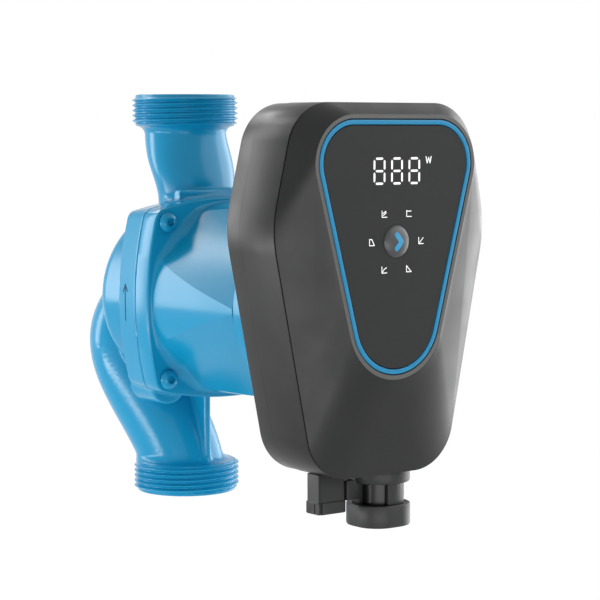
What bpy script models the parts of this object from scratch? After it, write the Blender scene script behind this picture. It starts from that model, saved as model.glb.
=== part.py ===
"""Wet-rotor circulator pump: a cast in-line housing, a painted motor and a control box with a display.

The origin is where the pipe axis (Z, flow upwards) crosses the motor axis. The display faces -Y.
Depths named forward, back and front are measured from the pipe axis towards the display, along -Y.
"""
import math

import bmesh
import bpy
from mathutils import Matrix, Vector

MM = 0.001

# Fits
SEAT_GAP = 0.3 * MM
RUN_GAP = 0.4 * MM
AIR_GAP = 0.9 * MM

# Pipe ports and cast passages
PORT_TO_PORT = 180 * MM
THREAD_OD = 47.8 * MM
THREAD_LENGTH = 13.8 * MM
THREAD_CHAMFER = 1.2 * MM
PORT_BORE = 28 * MM
PIPE_WALL = 4.3 * MM
OUTLET_BEND_LOW = 42 * MM
OUTLET_BEND_HIGH = 72 * MM
OUTLET_SWELL = 2.9 * MM
ELBOW_ASIDE = 5.5 * MM
ELBOW_BEHIND = 20 * MM
ELBOW_BELOW = 6 * MM
SUCTION_RISE = 35 * MM
SWEEP_ASIDE = 18 * MM
SWEEP_BEHIND = 22.5 * MM
SWEEP_BELOW = 22 * MM
DUCT_SWELL = 2.8 * MM
ELBOW_SWELL = 0.6 * MM
RIB_THICKNESS = 3.2 * MM
RIB_FORWARD = 17.5 * MM
LAND_WIDTH = 40 * MM
LAND_HEIGHT = 4.8 * MM

# Impeller and its chamber
IMPELLER_RADIUS = 30 * MM
VOLUTE_ROOM = 6 * MM
VOLUTE_WALL = 5.6 * MM
VOLUTE_FLOOR = 17.8 * MM
VOLUTE_EDGE = 8 * MM
CHAMBER_DEPTH = 18.4 * MM
EYE_RADIUS = 11.5 * MM
SHROUD_WALL = 1.6 * MM
NECK_RING_WALL = 2.2 * MM
NECK_RING_DEPTH = 4 * MM
NECK_REACH = 3 * MM
DISC_THICKNESS = 1.8 * MM
DISC_ROOM = 1.4 * MM
VANE_HEIGHT = 6.2 * MM
VANE_THICKNESS = 1.8 * MM
VANE_COUNT = 6
VANE_SWEEP = math.radians(75)

# Shaft, bearings and rotor
SHAFT_RADIUS = 4.5 * MM
BEARING_WALL = 3.7 * MM
HUB_WALL = 2.2 * MM
HUB_LENGTH = 7 * MM
PLATE_THICKNESS = 1.3 * MM
GASKET_THICKNESS = 1.4 * MM
SEAT_STEP = 3 * MM
THRUST_LENGTH = 2.7 * MM
ROTOR_LENGTH = 34 * MM
CORE_WALL = 5.2 * MM
MAGNET_WALL = 2.9 * MM
SLEEVE_WALL = 0.8 * MM
CAN_WALL = 0.8 * MM
CAN_FLANGE = 1.2 * MM
CAN_END = 1.5 * MM
ROTOR_END_ROOM = 5 * MM
REAR_BEARING_LENGTH = 7 * MM
SEAL_SECTION = 2 * MM

# Stator and windings
STATOR_DEPTH = 14.3 * MM
STATOR_LENGTH = 28 * MM
STATOR_YOKE = 4.5 * MM
TOOTH_WIDTH = 7 * MM
SHOE_DEPTH = 2 * MM
SHOE_ARC = math.radians(46)
TOOTH_COUNT = 6
WINDING_WIDTH = 4.4 * MM
WINDING_CORNER = 2.4 * MM
WINDING_ROOM = 2.5 * MM

# Flanges and motor housing
FLANGE_BACK = 11 * MM
PUMP_FLANGE = 15.3 * MM
MOTOR_FLANGE = 11.5 * MM
FLANGE_CORNER = 6 * MM
FLANGE_LAND = 1.2 * MM
FLANGE_CHAMFER = 0.8 * MM
SEAT_WALL = 3 * MM
MOTOR_WALL = 3.4 * MM
FACET_SLOPE = 0.19
DRUM_PROUD = 2.4 * MM
DRUM_DRAFT = 1.8 * MM
CAN_ROOM = 6 * MM
END_WALL = 6.4 * MM
NECK_LENGTH = 13.7 * MM
NECK_STEP = 0.4 * MM
NECK_WALL = 6 * MM
NECK_FLOOR = 2.5 * MM
WIRE_HOLE = 9 * MM
SCREW_RADIUS = 2.5 * MM
SCREW_DEPTH = 12 * MM
SCREW_HEAD_RADIUS = 4.3 * MM
SCREW_HEAD_HEIGHT = 2.8 * MM
SCREW_SOCKET = 1.7 * MM
HEAD_ROOM = 0.8 * MM

# Control box: its outline wraps three pairs of circles, each given as x, z and radius
BOX_TOP = (27 * MM, 64.4 * MM, 20.8 * MM)
BOX_SHOULDER = (6.9 * MM, 34.7 * MM, 47.2 * MM)
BOX_FOOT = (17.4 * MM, -44.3 * MM, 20.9 * MM)
BASE_DEPTH = 9.3 * MM
BASE_INSET = 0.8 * MM
BASE_WALL = 2.5 * MM
BASE_EDGE = 1 * MM
FRAME_DEPTH = 22.5 * MM
FRAME_WALL = 3 * MM
COVER_DEPTH = 9.4 * MM
COVER_WALL = 2.5 * MM
SKIRT_DEPTH = 3.5 * MM
SKIRT_WALL = 2 * MM
SEAL_WIDTH = 2.4 * MM
BOX_SCREW_RADIUS = 1.5 * MM
BOX_SCREW_REACH = 6 * MM
BOX_HEAD_RADIUS = 2.8 * MM
BOX_HEAD_HEIGHT = 2 * MM
COVER_POST_RADIUS = 2.8 * MM
POST_CLEAR = 0.5 * MM
COVER_BOSS_RADIUS = 4 * MM
COVER_BOSS_DEPTH = 12 * MM

# Front panel: its outline wraps a pair of top circles and one bottom circle
PANEL_TOP = (21.9 * MM, 61 * MM, 17.3 * MM)
PANEL_FOOT = (0.0, -0.9 * MM, 22.4 * MM)
BEZEL_WIDTH = 2 * MM
TRIM_WIDTH = 2 * MM
TRIM_DEPTH = 2.2 * MM
PANEL_RECESS = 0.2 * MM
LEDGE_WIDTH = 3 * MM
BUTTON_HEIGHT = 29.9 * MM
BUTTON_RADIUS = 6.5 * MM
BUTTON_PROUD = 1.5 * MM
BUTTON_CROWN = 0.8 * MM
BUTTON_TRAVEL = 1 * MM
BUTTON_RIM = 1.2 * MM
BUTTON_RIM_DEPTH = 1.4 * MM

# Electronics
BOARD_THICKNESS = 1.6 * MM
BOARD_ROOM = 0.7 * MM
POST_RADIUS = 2.5 * MM
POST_HEIGHT = 3.4 * MM
POST_TOP = (19 * MM, 48 * MM)
POST_FOOT = (12 * MM, -36 * MM)
DISPLAY_INSET = 1.5 * MM
DISPLAY_POST = 2.6 * MM
DIGITS_SIZE = (28.4 * MM, 15 * MM)
DIGITS_HEIGHT = 58 * MM
SWITCH_SIZE = (6 * MM, 6 * MM)
SWITCH_BODY = 1 * MM
SWITCH_STEM = 1.7 * MM
HEADER_SIZE = (16 * MM, 5 * MM)
HEADER_HEIGHT = 2 * MM
CAPACITOR_AT = (16 * MM, 30 * MM)
CAPACITOR_RADIUS = 8 * MM
CAPACITOR_LENGTH = 16 * MM
CHOKE_AT = (-13 * MM, -19 * MM)
CHOKE_RADIUS = 10 * MM
CHOKE_HOLE = 4.5 * MM
CHOKE_HEIGHT = 9 * MM

# Sockets under the box, placed by x and by depth in front of the frame's back
SIGNAL_X = -13.9 * MM
SIGNAL_DEPTH = 4.2 * MM
SIGNAL_SIZE = (13.5 * MM, 9 * MM)
SIGNAL_DROP = 16.7 * MM
SIGNAL_WALL = 1.5 * MM
SIGNAL_CORNER = 1.2 * MM
SIGNAL_FOOT = (2.6 * MM, 5 * MM)
POWER_X = 12.4 * MM
POWER_DEPTH = 6 * MM
POWER_RADIUS = 13.2 * MM
POWER_FLANGE = 5.8 * MM
POWER_NECK = 10.8 * MM
POWER_NECK_WALL = 1.6 * MM
POWER_DROP = 16.5 * MM
POWER_RING = 6.7 * MM
POWER_INSERT_WALL = 1.6 * MM
POWER_WINDOW = math.radians(100)
WINDOW_START = math.radians(170)
SOCKET_FLOOR = 4 * MM
PIN_RADIUS = 1 * MM
PIN_RECESS = 4.5 * MM
PIN_PITCH = 3.4 * MM
PIN_COUNT = 3

# Facets round a circle: large drums, pieces in general, and screws, pins and holes
LARGE_ROUND = 32
ROUND = 18
SMALL_ROUND = 8
OUTLINE = 36

# Local axes of a shape: u across, v up the page, w along its length
FORWARD = Matrix(((1, 0, 0, 0), (0, 0, -1, 0), (0, 1, 0, 0), (0, 0, 0, 1)))
UPWARD = Matrix.Identity(4)
SIDEWAYS = Matrix(((0, 0, -1, 0), (-1, 0, 0, 0), (0, 1, 0, 0), (0, 0, 0, 1)))

# Radii, from the shaft outwards
hub_bore = SHAFT_RADIUS + SEAT_GAP
bearing_radius = hub_bore + BEARING_WALL
hub_radius = bearing_radius + SEAT_GAP + HUB_WALL
core_radius = hub_bore + CORE_WALL
magnet_radius = core_radius + SEAT_GAP + MAGNET_WALL
sleeve_radius = magnet_radius + SEAT_GAP + SLEEVE_WALL
can_bore = sleeve_radius + AIR_GAP
can_radius = can_bore + CAN_WALL
stator_bore = can_radius + SEAT_GAP
stator_radius = stator_bore + STATOR_DEPTH
motor_bore = stator_radius + SEAT_GAP
end_bore = can_radius + CAN_ROOM
shroud_neck = EYE_RADIUS + SHROUD_WALL
ring_bore = shroud_neck + RUN_GAP
ring_radius = ring_bore + NECK_RING_WALL
chamber_radius = IMPELLER_RADIUS + VOLUTE_ROOM
volute_radius = chamber_radius + VOLUTE_WALL
seat_radius = chamber_radius + SEAT_STEP
port_radius = PORT_BORE / 2
pipe_radius = port_radius + PIPE_WALL
duct_radius = pipe_radius + DUCT_SWELL
elbow_at = Vector((-ELBOW_ASIDE, ELBOW_BEHIND, -ELBOW_BELOW))

# Depths, from the pipe axis forwards
parting = FLANGE_BACK + PUMP_FLANGE
plate_front = parting - SEAT_GAP
plate_back = plate_front - PLATE_THICKNESS
gasket_back = plate_back - SEAT_GAP - GASKET_THICKNESS
seat_floor = gasket_back - SEAT_GAP
chamber_back = seat_floor - CHAMBER_DEPTH
volute_back = chamber_back - VOLUTE_FLOOR
ring_back = chamber_back - NECK_RING_DEPTH
disc_front = plate_back - DISC_ROOM
disc_back = disc_front - DISC_THICKNESS
vane_back = disc_back - VANE_HEIGHT
shroud_front = vane_back - SEAT_GAP
hub_front = plate_front + HUB_LENGTH
thrust_back = hub_front + SEAT_GAP
rotor_back = thrust_back + THRUST_LENGTH + SEAT_GAP
rotor_front = rotor_back + ROTOR_LENGTH
rear_bearing_back = rotor_front + ROTOR_END_ROOM
rear_bearing_front = rear_bearing_back + REAR_BEARING_LENGTH
can_base = plate_front + SEAT_GAP
can_floor = rear_bearing_front + SEAT_GAP
can_front = can_floor + CAN_END
stator_back = rotor_back + (ROTOR_LENGTH - STATOR_LENGTH) / 2
stator_front = stator_back + STATOR_LENGTH
motor_back = parting + SEAT_GAP
motor_face = motor_back + MOTOR_FLANGE
bore_front = stator_front + SEAT_GAP + WINDING_WIDTH + WINDING_ROOM
end_floor = max(can_front, bore_front) + WINDING_ROOM
drum_front = end_floor + END_WALL
neck_front = drum_front + NECK_LENGTH
box_back = neck_front + SEAT_GAP
base_floor = box_back + BASE_WALL
base_front = box_back + BASE_DEPTH
frame_back = base_front + SEAT_GAP
frame_front = frame_back + FRAME_DEPTH
cover_back = frame_front + SEAT_GAP
cover_front = cover_back + COVER_DEPTH
trim_back = cover_front - TRIM_DEPTH
ledge_front = trim_back - SEAT_GAP
ledge_back = ledge_front - COVER_WALL
panel_front = cover_front - PANEL_RECESS
board_back = base_floor + POST_HEIGHT + SEAT_GAP
board_front = board_back + BOARD_THICKNESS
display_front = ledge_back - DISPLAY_POST - SEAT_GAP
display_back = display_front - BOARD_THICKNESS
signal_at = (SIGNAL_X, frame_back + SIGNAL_DEPTH)
power_at = (POWER_X, frame_back + POWER_DEPTH)

# Motor housing and flange outline
facet_at_bore = motor_bore + MOTOR_WALL
drum_back_radius = facet_at_bore + FACET_SLOPE * (bore_front - motor_face) + DRUM_PROUD
drum_front_radius = drum_back_radius - DRUM_DRAFT
neck_radius = drum_front_radius - NECK_STEP
flange_half = max(drum_back_radius + FLANGE_LAND, seat_radius + SEAT_WALL)
screw_offset = (drum_back_radius + SCREW_HEAD_RADIUS + HEAD_ROOM) / math.sqrt(2)
screw_hole = SCREW_RADIUS + SEAT_GAP
box_screw_hole = BOX_SCREW_RADIUS + SEAT_GAP
box_screw_circle = neck_radius - NECK_WALL / 2
box_bottom = BOX_FOOT[1] - BOX_FOOT[2]
seal_inset = BASE_INSET + BASE_WALL
lip_inset = seal_inset + SEAL_WIDTH
cover_screw_inset = lip_inset + SEAT_GAP + POST_CLEAR + COVER_POST_RADIUS
board_inset = cover_screw_inset + COVER_POST_RADIUS + BOARD_ROOM
pin_hole = PIN_RADIUS + SEAT_GAP
signal_mouth = box_bottom - SIGNAL_DROP
power_neck_low = box_bottom - POWER_DROP
power_mouth = power_neck_low - SEAT_GAP - POWER_RING


def start_empty_scene():
    for item in list(bpy.data.objects):
        bpy.data.objects.remove(item, do_unlink=True)


def new_object(name, shape):
    """Turn a bmesh into a named object, shaded smooth except at its edges."""
    bmesh.ops.remove_doubles(shape, verts=shape.verts, dist=1e-7)
    bmesh.ops.recalc_face_normals(shape, faces=shape.faces)
    mesh = bpy.data.meshes.new(name)
    shape.to_mesh(mesh)
    shape.free()
    mesh.shade_smooth()
    mesh.set_sharp_from_angle(angle=math.radians(32))
    item = bpy.data.objects.new(name, mesh)
    bpy.context.collection.objects.link(item)
    return item


def combine(body, tool, operation):
    """Add a Boolean. The ducts' faces aren't quite flat, so it also minds faces that cross their own mesh."""
    change = body.modifiers.new(operation.title(), "BOOLEAN")
    change.operation = operation
    change.solver = "EXACT"
    change.use_self = True
    change.object = tool
    tool.hide_render = True
    tool.display_type = "WIRE"


def cut(body, *tools):
    for tool in tools:
        combine(body, tool, "DIFFERENCE")


def fuse(body, *tools):
    for tool in tools:
        combine(body, tool, "UNION")


def finish(item, colour, roughness, metallic=0.0):
    """Give a piece its own plain material. The colour is red, green and blue, 0 to 255 as on a screen."""
    material = bpy.data.materials.new(item.name + "_finish")
    material.use_nodes = True
    shader = material.node_tree.nodes["Principled BSDF"]
    linear = [((c / 255 + 0.055) / 1.055) ** 2.4 if c > 10 else c / 255 / 12.92 for c in colour]
    shader.inputs["Base Color"].default_value = (*linear, 1)
    shader.inputs["Roughness"].default_value = roughness
    shader.inputs["Metallic"].default_value = metallic
    item.data.materials.append(material)
    return item


def paint_blue(item):
    return finish(item, (74, 152, 196), 0.35)


def mould_dark(item):
    return finish(item, (70, 71, 71), 0.5)


def bare_steel(item):
    return finish(item, (170, 172, 174), 0.35, 1.0)


def ceramic(item):
    return finish(item, (224, 222, 214), 0.3)


def circle(radius, count=ROUND, centre=(0, 0)):
    points = []
    for step in range(count):
        angle = math.tau * step / count
        points.append((centre[0] + radius * math.cos(angle), centre[1] + radius * math.sin(angle)))
    return points


def wrapped(circles, grow=0.0):
    """Outline of a belt round several circles, moved outwards by grow.

    It is sampled by the direction it faces, so outlines with any circles have matching points.
    """
    points = []
    for step in range(OUTLINE):
        angle = math.tau * (step + 0.5) / OUTLINE
        facing = (math.cos(angle), math.sin(angle))
        x, z, radius = max(circles, key=lambda c: facing[0] * c[0] + facing[1] * c[1] + c[2])
        points.append((x + (radius + grow) * facing[0], z + (radius + grow) * facing[1]))
    return points


def paired(*circles):
    """Circles and their mirror images about the centre line."""
    mirrored = [(-x, z, radius) for x, z, radius in circles]
    return list(circles) + mirrored


def box_outline(grow=0.0):
    return wrapped(paired(BOX_TOP, BOX_SHOULDER, BOX_FOOT), grow)


def panel_outline(grow=0.0):
    return wrapped(paired(PANEL_TOP, PANEL_FOOT), grow)


def rotated(point, turn):
    x, y = point
    return (x * math.cos(turn) - y * math.sin(turn), x * math.sin(turn) + y * math.cos(turn))


def flange_outline(grow=0.0):
    """Rounded square whose sides bulge: side arcs that run tangent into arcs about the screws."""
    half = flange_half + grow
    corner = FLANGE_CORNER + grow
    lead = screw_offset - half
    side = (corner ** 2 - lead ** 2 - screw_offset ** 2) / (2 * (lead + corner))
    reach = math.atan2(screw_offset, lead + side)
    side_steps = 6
    corner_steps = 4
    points = []
    for quarter in range(4):
        turn = math.pi / 2 * quarter
        quarter_points = []
        for step in range(side_steps):
            angle = -reach + 2 * reach * step / side_steps
            quarter_points.append((half - side + side * math.cos(angle), side * math.sin(angle)))
        for step in range(corner_steps):
            angle = reach + (math.pi / 2 - 2 * reach) * step / corner_steps
            x = screw_offset + corner * math.cos(angle)
            quarter_points.append((x, screw_offset + corner * math.sin(angle)))
        points += [rotated(point, turn) for point in quarter_points]
    return points


def rectangle(size, centre=(0, 0)):
    half_u = size[0] / 2
    half_v = size[1] / 2
    corners = ((-half_u, -half_v), (half_u, -half_v), (half_u, half_v), (-half_u, half_v))
    return [(centre[0] + u, centre[1] + v) for u, v in corners]


def rounded_rectangle(size, corner, centre=(0, 0), steps=4):
    points = []
    corners = ((1, 1), (-1, 1), (-1, -1), (1, -1))
    for quarter, (side_u, side_v) in enumerate(corners):
        u = centre[0] + side_u * (size[0] / 2 - corner)
        v = centre[1] + side_v * (size[1] / 2 - corner)
        for step in range(steps + 1):
            angle = math.pi / 2 * (quarter + step / steps)
            points.append((u + corner * math.cos(angle), v + corner * math.sin(angle)))
    return points


def sector(inner, outer, start, sweep, centre):
    """Part of a flat ring, from a start angle."""
    steps = 6
    angles = [start + sweep * step / steps for step in range(steps + 1)]
    points = [(centre[0] + outer * math.cos(a), centre[1] + outer * math.sin(a)) for a in angles]
    points += [(centre[0] + inner * math.cos(a), centre[1] + inner * math.sin(a)) for a in reversed(angles)]
    return points


def add_skin(shape, rings):
    """Skin a run of matching rings of points and close both ends."""
    loops = [[shape.verts.new(point) for point in ring] for ring in rings]
    count = len(loops[0])
    for low, high in zip(loops, loops[1:]):
        for step in range(count):
            after = (step + 1) % count
            shape.faces.new((low[step], low[after], high[after], high[step]))
    shape.faces.new(list(reversed(loops[0])))
    shape.faces.new(loops[-1])


def lofted(name, layers, space):
    """Solid through outlines at given lengths: layers holds (length, outline) pairs."""
    shape = bmesh.new()
    rings = [[space @ Vector((u, v, length)) for u, v in outline] for length, outline in layers]
    add_skin(shape, rings)
    return new_object(name, shape)


def prism(name, outline, low, high, space=FORWARD):
    return lofted(name, ((low, outline), (high, outline)), space)


def ring_prism(name, outer, inner, low, high, space=FORWARD):
    """Prism with a hole: outer and inner outlines have matching points."""
    shape = bmesh.new()
    loops = []
    for outline, length in ((outer, low), (outer, high), (inner, high), (inner, low)):
        loops.append([shape.verts.new(space @ Vector((u, v, length))) for u, v in outline])
    count = len(outer)
    for start, end in zip(loops, loops[1:] + loops[:1]):
        for step in range(count):
            after = (step + 1) % count
            shape.faces.new((start[step], start[after], end[after], end[step]))
    return new_object(name, shape)


def turned(name, profile, space=FORWARD, centre=(0, 0), count=ROUND):
    """Closed profile of (radius, length) points, spun about the w axis through centre."""
    shape = bmesh.new()
    points = [shape.verts.new((radius, 0, length)) for radius, length in profile]
    edges = [shape.edges.new((a, b)) for a, b in zip(points, points[1:] + points[:1])]
    bmesh.ops.spin(shape, geom=points + edges, axis=(0, 0, 1), cent=(0, 0, 0), angle=math.tau,
                   steps=count, use_merge=True)
    bmesh.ops.remove_doubles(shape, verts=shape.verts, dist=1e-7)
    bmesh.ops.dissolve_degenerate(shape, edges=shape.edges, dist=1e-7)
    axis_edges = [edge for edge in shape.edges if not edge.link_faces]
    bmesh.ops.delete(shape, geom=axis_edges, context="EDGES")
    shape.transform(space @ Matrix.Translation((centre[0], centre[1], 0)))
    return new_object(name, shape)


def sleeve(name, bore, radius, low, high, space=FORWARD, centre=(0, 0), count=ROUND):
    profile = ((radius, high), (radius, low), (bore, low), (bore, high))
    return turned(name, profile, space, centre, count)


def rod(name, radius, low, high, space=FORWARD, centre=(0, 0), count=ROUND):
    return prism(name, circle(radius, count, centre), low, high, space)


def small_rod(name, radius, low, high, centre, space=FORWARD):
    """Rod for screw holes, posts and pins."""
    return rod(name, radius, low, high, space, centre, SMALL_ROUND)


def ball(name, radius, centre):
    shape = bmesh.new()
    bmesh.ops.create_uvsphere(shape, u_segments=ROUND, v_segments=ROUND // 2, radius=radius,
                              matrix=Matrix.Translation(centre))
    return new_object(name, shape)


def pipe(name, path, radii):
    """Round pipe along a path, each end square to it."""
    shape = bmesh.new()
    rings = []
    for place, point in enumerate(path):
        before = path[max(place - 1, 0)]
        after = path[min(place + 1, len(path) - 1)]
        heading = (after - before).normalized()
        across = heading.cross(Vector((1, 0, 0))).normalized()
        aside = across.cross(heading)
        ring = []
        for u, v in circle(radii[place]):
            ring.append(point + u * aside - v * across)
        rings.append(ring)
    add_skin(shape, rings)
    return new_object(name, shape)


def bezier(start, lead, trail, end, steps):
    points = []
    for step in range(steps + 1):
        t = step / steps
        s = 1 - t
        points.append(s ** 3 * start + 3 * s * s * t * lead + 3 * s * t * t * trail + t ** 3 * end)
    return points


def hang(item, pivot):
    """Move an object's origin to a pivot without moving its shape."""
    item.data.transform(Matrix.Translation(-pivot))
    item.location = pivot


def suction_path():
    """Centre line of the suction duct, from the inlet face up to the elbow behind the volute."""
    inlet = Vector((0, 0, -PORT_TO_PORT / 2))
    sweep = Vector((-SWEEP_ASIDE, SWEEP_BEHIND, -SWEEP_BELOW))
    return bezier(inlet, inlet + Vector((0, 0, SUCTION_RISE)), elbow_at + sweep, elbow_at, 6)


def outlet_layers(radius, swell, low, high):
    """Level ovals that start behind the gasket seat and narrow to circles about the pipe axis, going up."""
    start = seat_floor - port_radius
    layers = []
    steps = 6
    for step in range(steps + 1):
        height = low + (high - low) * step / steps
        t = (height - OUTLET_BEND_LOW) / (OUTLET_BEND_HIGH - OUTLET_BEND_LOW)
        t = min(max(t, 0), 1)
        rest = 1 - t * t * (3 - 2 * t)
        wider = 1 + rest * swell / radius
        layers.append((height, [(x * wider, y - start * rest) for x, y in circle(radius)]))
    return layers


def port_collar(name, inner_end, outer_end):
    chamfer = math.copysign(THREAD_CHAMFER, outer_end - inner_end)
    radius = THREAD_OD / 2
    profile = ((0, outer_end), (radius - THREAD_CHAMFER, outer_end), (radius, outer_end - chamfer),
               (radius, inner_end + chamfer), (radius - THREAD_CHAMFER, inner_end), (0, inner_end))
    return turned(name, profile, UPWARD)


def corner_points(offset):
    return [(offset, offset), (-offset, offset), (-offset, -offset), (offset, -offset)]


def box_screw_places():
    return corner_points(box_screw_circle / math.sqrt(2))


def build_pump_housing():
    top = PORT_TO_PORT / 2
    edge = FLANGE_CHAMFER
    flange_layers = ((FLANGE_BACK, flange_outline(-edge)), (FLANGE_BACK + edge, flange_outline()),
                     (parting, flange_outline()))
    body = lofted("pump_housing", flange_layers, FORWARD)
    volute_profile = [(0, FLANGE_BACK + edge), (volute_radius, FLANGE_BACK + edge)]
    edge_steps = 3
    for step in range(edge_steps + 1):
        angle = math.pi / 2 * step / edge_steps
        radius = volute_radius - VOLUTE_EDGE * (1 - math.cos(angle))
        volute_profile.append((radius, volute_back + VOLUTE_EDGE * (1 - math.sin(angle))))
    volute_profile.append((0, volute_back))
    volute = turned("volute", volute_profile)
    neck_layers = outlet_layers(pipe_radius, OUTLET_SWELL, volute_radius / 2, top - THREAD_LENGTH / 2)
    outlet_neck = lofted("outlet_neck", neck_layers, UPWARD)
    outlet_collar = port_collar("outlet_collar", top - THREAD_LENGTH, top)
    inlet_collar = port_collar("inlet_collar", THREAD_LENGTH - top, -top)
    path = suction_path()
    into_collar = Vector((0, 0, THREAD_LENGTH / 2))
    swell = [pipe_radius + DUCT_SWELL * step / (len(path) - 1) for step in range(len(path))]
    suction_duct = pipe("suction_duct", [path[0] + into_collar] + path[1:], swell)
    elbow = ball("elbow", duct_radius + ELBOW_SWELL, elbow_at)
    eye_centre = Vector((0, -chamber_back, 0))
    eye_start = elbow_at.lerp(eye_centre, 0.15)
    eye_duct = pipe("eye_duct", [eye_start, eye_centre.lerp(eye_start, 0.2)], [pipe_radius] * 2)
    rib_foot = THREAD_LENGTH - top - THREAD_CHAMFER
    rib_outline = [(RIB_FORWARD, -flange_half / 2), (RIB_FORWARD, rib_foot),
                   (-pipe_radius / 2, rib_foot), (-pipe_radius, -flange_half / 2)]
    rib = prism("rib", rib_outline, -RIB_THICKNESS / 2, RIB_THICKNESS / 2, SIDEWAYS)
    land_top = flange_half + LAND_HEIGHT
    land_outline = rounded_rectangle((LAND_WIDTH, 2 * LAND_HEIGHT + VOLUTE_WALL), LAND_HEIGHT / 2,
                                     (0, land_top - LAND_HEIGHT - VOLUTE_WALL / 2))
    land = prism("land", land_outline, FLANGE_BACK + edge, parting - edge)
    fuse(body, eye_duct, elbow, suction_duct, volute, outlet_neck, outlet_collar, inlet_collar, rib, land)
    trim_outline = rectangle((2 * PORT_BORE, 2 * OUTLET_BEND_HIGH))
    front_trim = prism("front_trim", trim_outline, parting, parting + PUMP_FLANGE)

    ring_seat = ring_radius + SEAT_GAP
    chamber_profile = ((0, parting + edge), (seat_radius, parting + edge), (seat_radius, seat_floor),
                       (chamber_radius, seat_floor), (chamber_radius, chamber_back),
                       (ring_seat, chamber_back), (ring_seat, ring_back), (0, ring_back))
    chamber = turned("chamber", chamber_profile)
    outlet_bore = lofted("outlet_bore", outlet_layers(port_radius, 0, IMPELLER_RADIUS, top + edge), UPWARD)
    bore_path = [path[0] - into_collar] + path
    suction_bore = pipe("suction_bore", bore_path, [port_radius] * len(bore_path))
    elbow_bore = ball("elbow_bore", port_radius + ELBOW_SWELL, elbow_at)
    eye_mouth = Vector((0, -ring_back - edge, 0))
    eye_bore = pipe("eye_bore", [elbow_at, eye_mouth], [port_radius - SEAT_GAP, ring_bore])
    cut(body, front_trim, chamber, outlet_bore, suction_bore, elbow_bore, eye_bore)
    for number, place in enumerate(corner_points(screw_offset), 1):
        low = parting - SCREW_DEPTH - SEAT_GAP
        cut(body, small_rod(f"housing_hole_{number}", screw_hole, low, parting + edge, place))
    paint_blue(body)


def vane_outline(turn):
    """One backward-curved vane as a band along a spiral from the eye to the rim."""
    steps = 8
    outer_side = []
    inner_side = []
    for step in range(steps + 1):
        t = step / steps
        radius = EYE_RADIUS + (IMPELLER_RADIUS - VANE_THICKNESS - EYE_RADIUS) * t
        angle = turn - VANE_SWEEP * t
        half_angle = VANE_THICKNESS / 2 / radius
        outer_side.append((radius * math.cos(angle + half_angle), radius * math.sin(angle + half_angle)))
        inner_side.append((radius * math.cos(angle - half_angle), radius * math.sin(angle - half_angle)))
    return outer_side + inner_side[::-1]


def build_impeller(axis):
    boss = hub_bore + HUB_WALL
    impeller_profile = ((hub_bore, disc_front), (IMPELLER_RADIUS, disc_front), (IMPELLER_RADIUS, disc_back),
                        (boss + HUB_WALL, disc_back), (boss, vane_back), (hub_bore, vane_back))
    impeller = turned("impeller", impeller_profile)
    shape = bmesh.new()
    for number in range(VANE_COUNT):
        outline = vane_outline(math.tau * number / VANE_COUNT)
        rings = [[FORWARD @ Vector((u, v, length)) for u, v in outline]
                 for length in (vane_back, disc_back + DISC_THICKNESS / 2)]
        add_skin(shape, rings)
    fuse(impeller, new_object("vanes", shape))
    finish(impeller, (58, 60, 62), 0.5)
    neck_back = chamber_back - NECK_REACH
    shoulder = shroud_front - SHROUD_WALL
    shroud_profile = ((EYE_RADIUS, neck_back), (EYE_RADIUS, shroud_front), (IMPELLER_RADIUS, shroud_front),
                      (IMPELLER_RADIUS, shoulder), (shroud_neck + SHROUD_WALL, shoulder),
                      (shroud_neck, shoulder - SHROUD_WALL), (shroud_neck, neck_back))
    shroud = turned("impeller_shroud", shroud_profile)
    finish(shroud, (58, 60, 62), 0.5)
    for item in (impeller, shroud):
        item.parent = axis
    ring = sleeve("neck_ring", ring_bore, ring_radius, ring_back + SEAT_GAP, chamber_back + SEAT_GAP)
    bare_steel(ring)


def build_rotor(axis):
    shaft = rod("shaft", SHAFT_RADIUS, vane_back, rear_bearing_front - SEAT_GAP)
    ceramic(shaft)
    thrust = sleeve("thrust_ring", hub_bore, bearing_radius, thrust_back, thrust_back + THRUST_LENGTH)
    finish(thrust, (52, 52, 54), 0.5)
    core = sleeve("rotor_core", hub_bore, core_radius, rotor_back, rotor_front)
    bare_steel(core)
    magnet = sleeve("rotor_magnet", core_radius + SEAT_GAP, magnet_radius, rotor_back, rotor_front)
    finish(magnet, (60, 60, 62), 0.6)
    jacket = sleeve("rotor_sleeve", magnet_radius + SEAT_GAP, sleeve_radius, rotor_back, rotor_front)
    bare_steel(jacket)
    for item in (shaft, thrust, core, magnet, jacket):
        item.parent = axis


def build_bearings():
    hub = bearing_radius + SEAT_GAP
    plate = turned("bearing_plate", ((hub, plate_back), (hub, hub_front), (hub_radius, hub_front),
                                     (hub_radius, plate_front), (seat_radius - SEAT_GAP, plate_front),
                                     (seat_radius - SEAT_GAP, plate_back)))
    bare_steel(plate)
    front = sleeve("front_bearing", hub_bore, bearing_radius, plate_back + SEAT_GAP, hub_front - SEAT_GAP)
    ceramic(front)
    rear = sleeve("rear_bearing", hub_bore, bearing_radius, rear_bearing_back, rear_bearing_front)
    ceramic(rear)
    gasket = sleeve("housing_gasket", chamber_radius + SEAT_GAP, seat_radius - SEAT_GAP, gasket_back,
                    gasket_back + GASKET_THICKNESS)
    finish(gasket, (36, 36, 37), 0.7)


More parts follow.
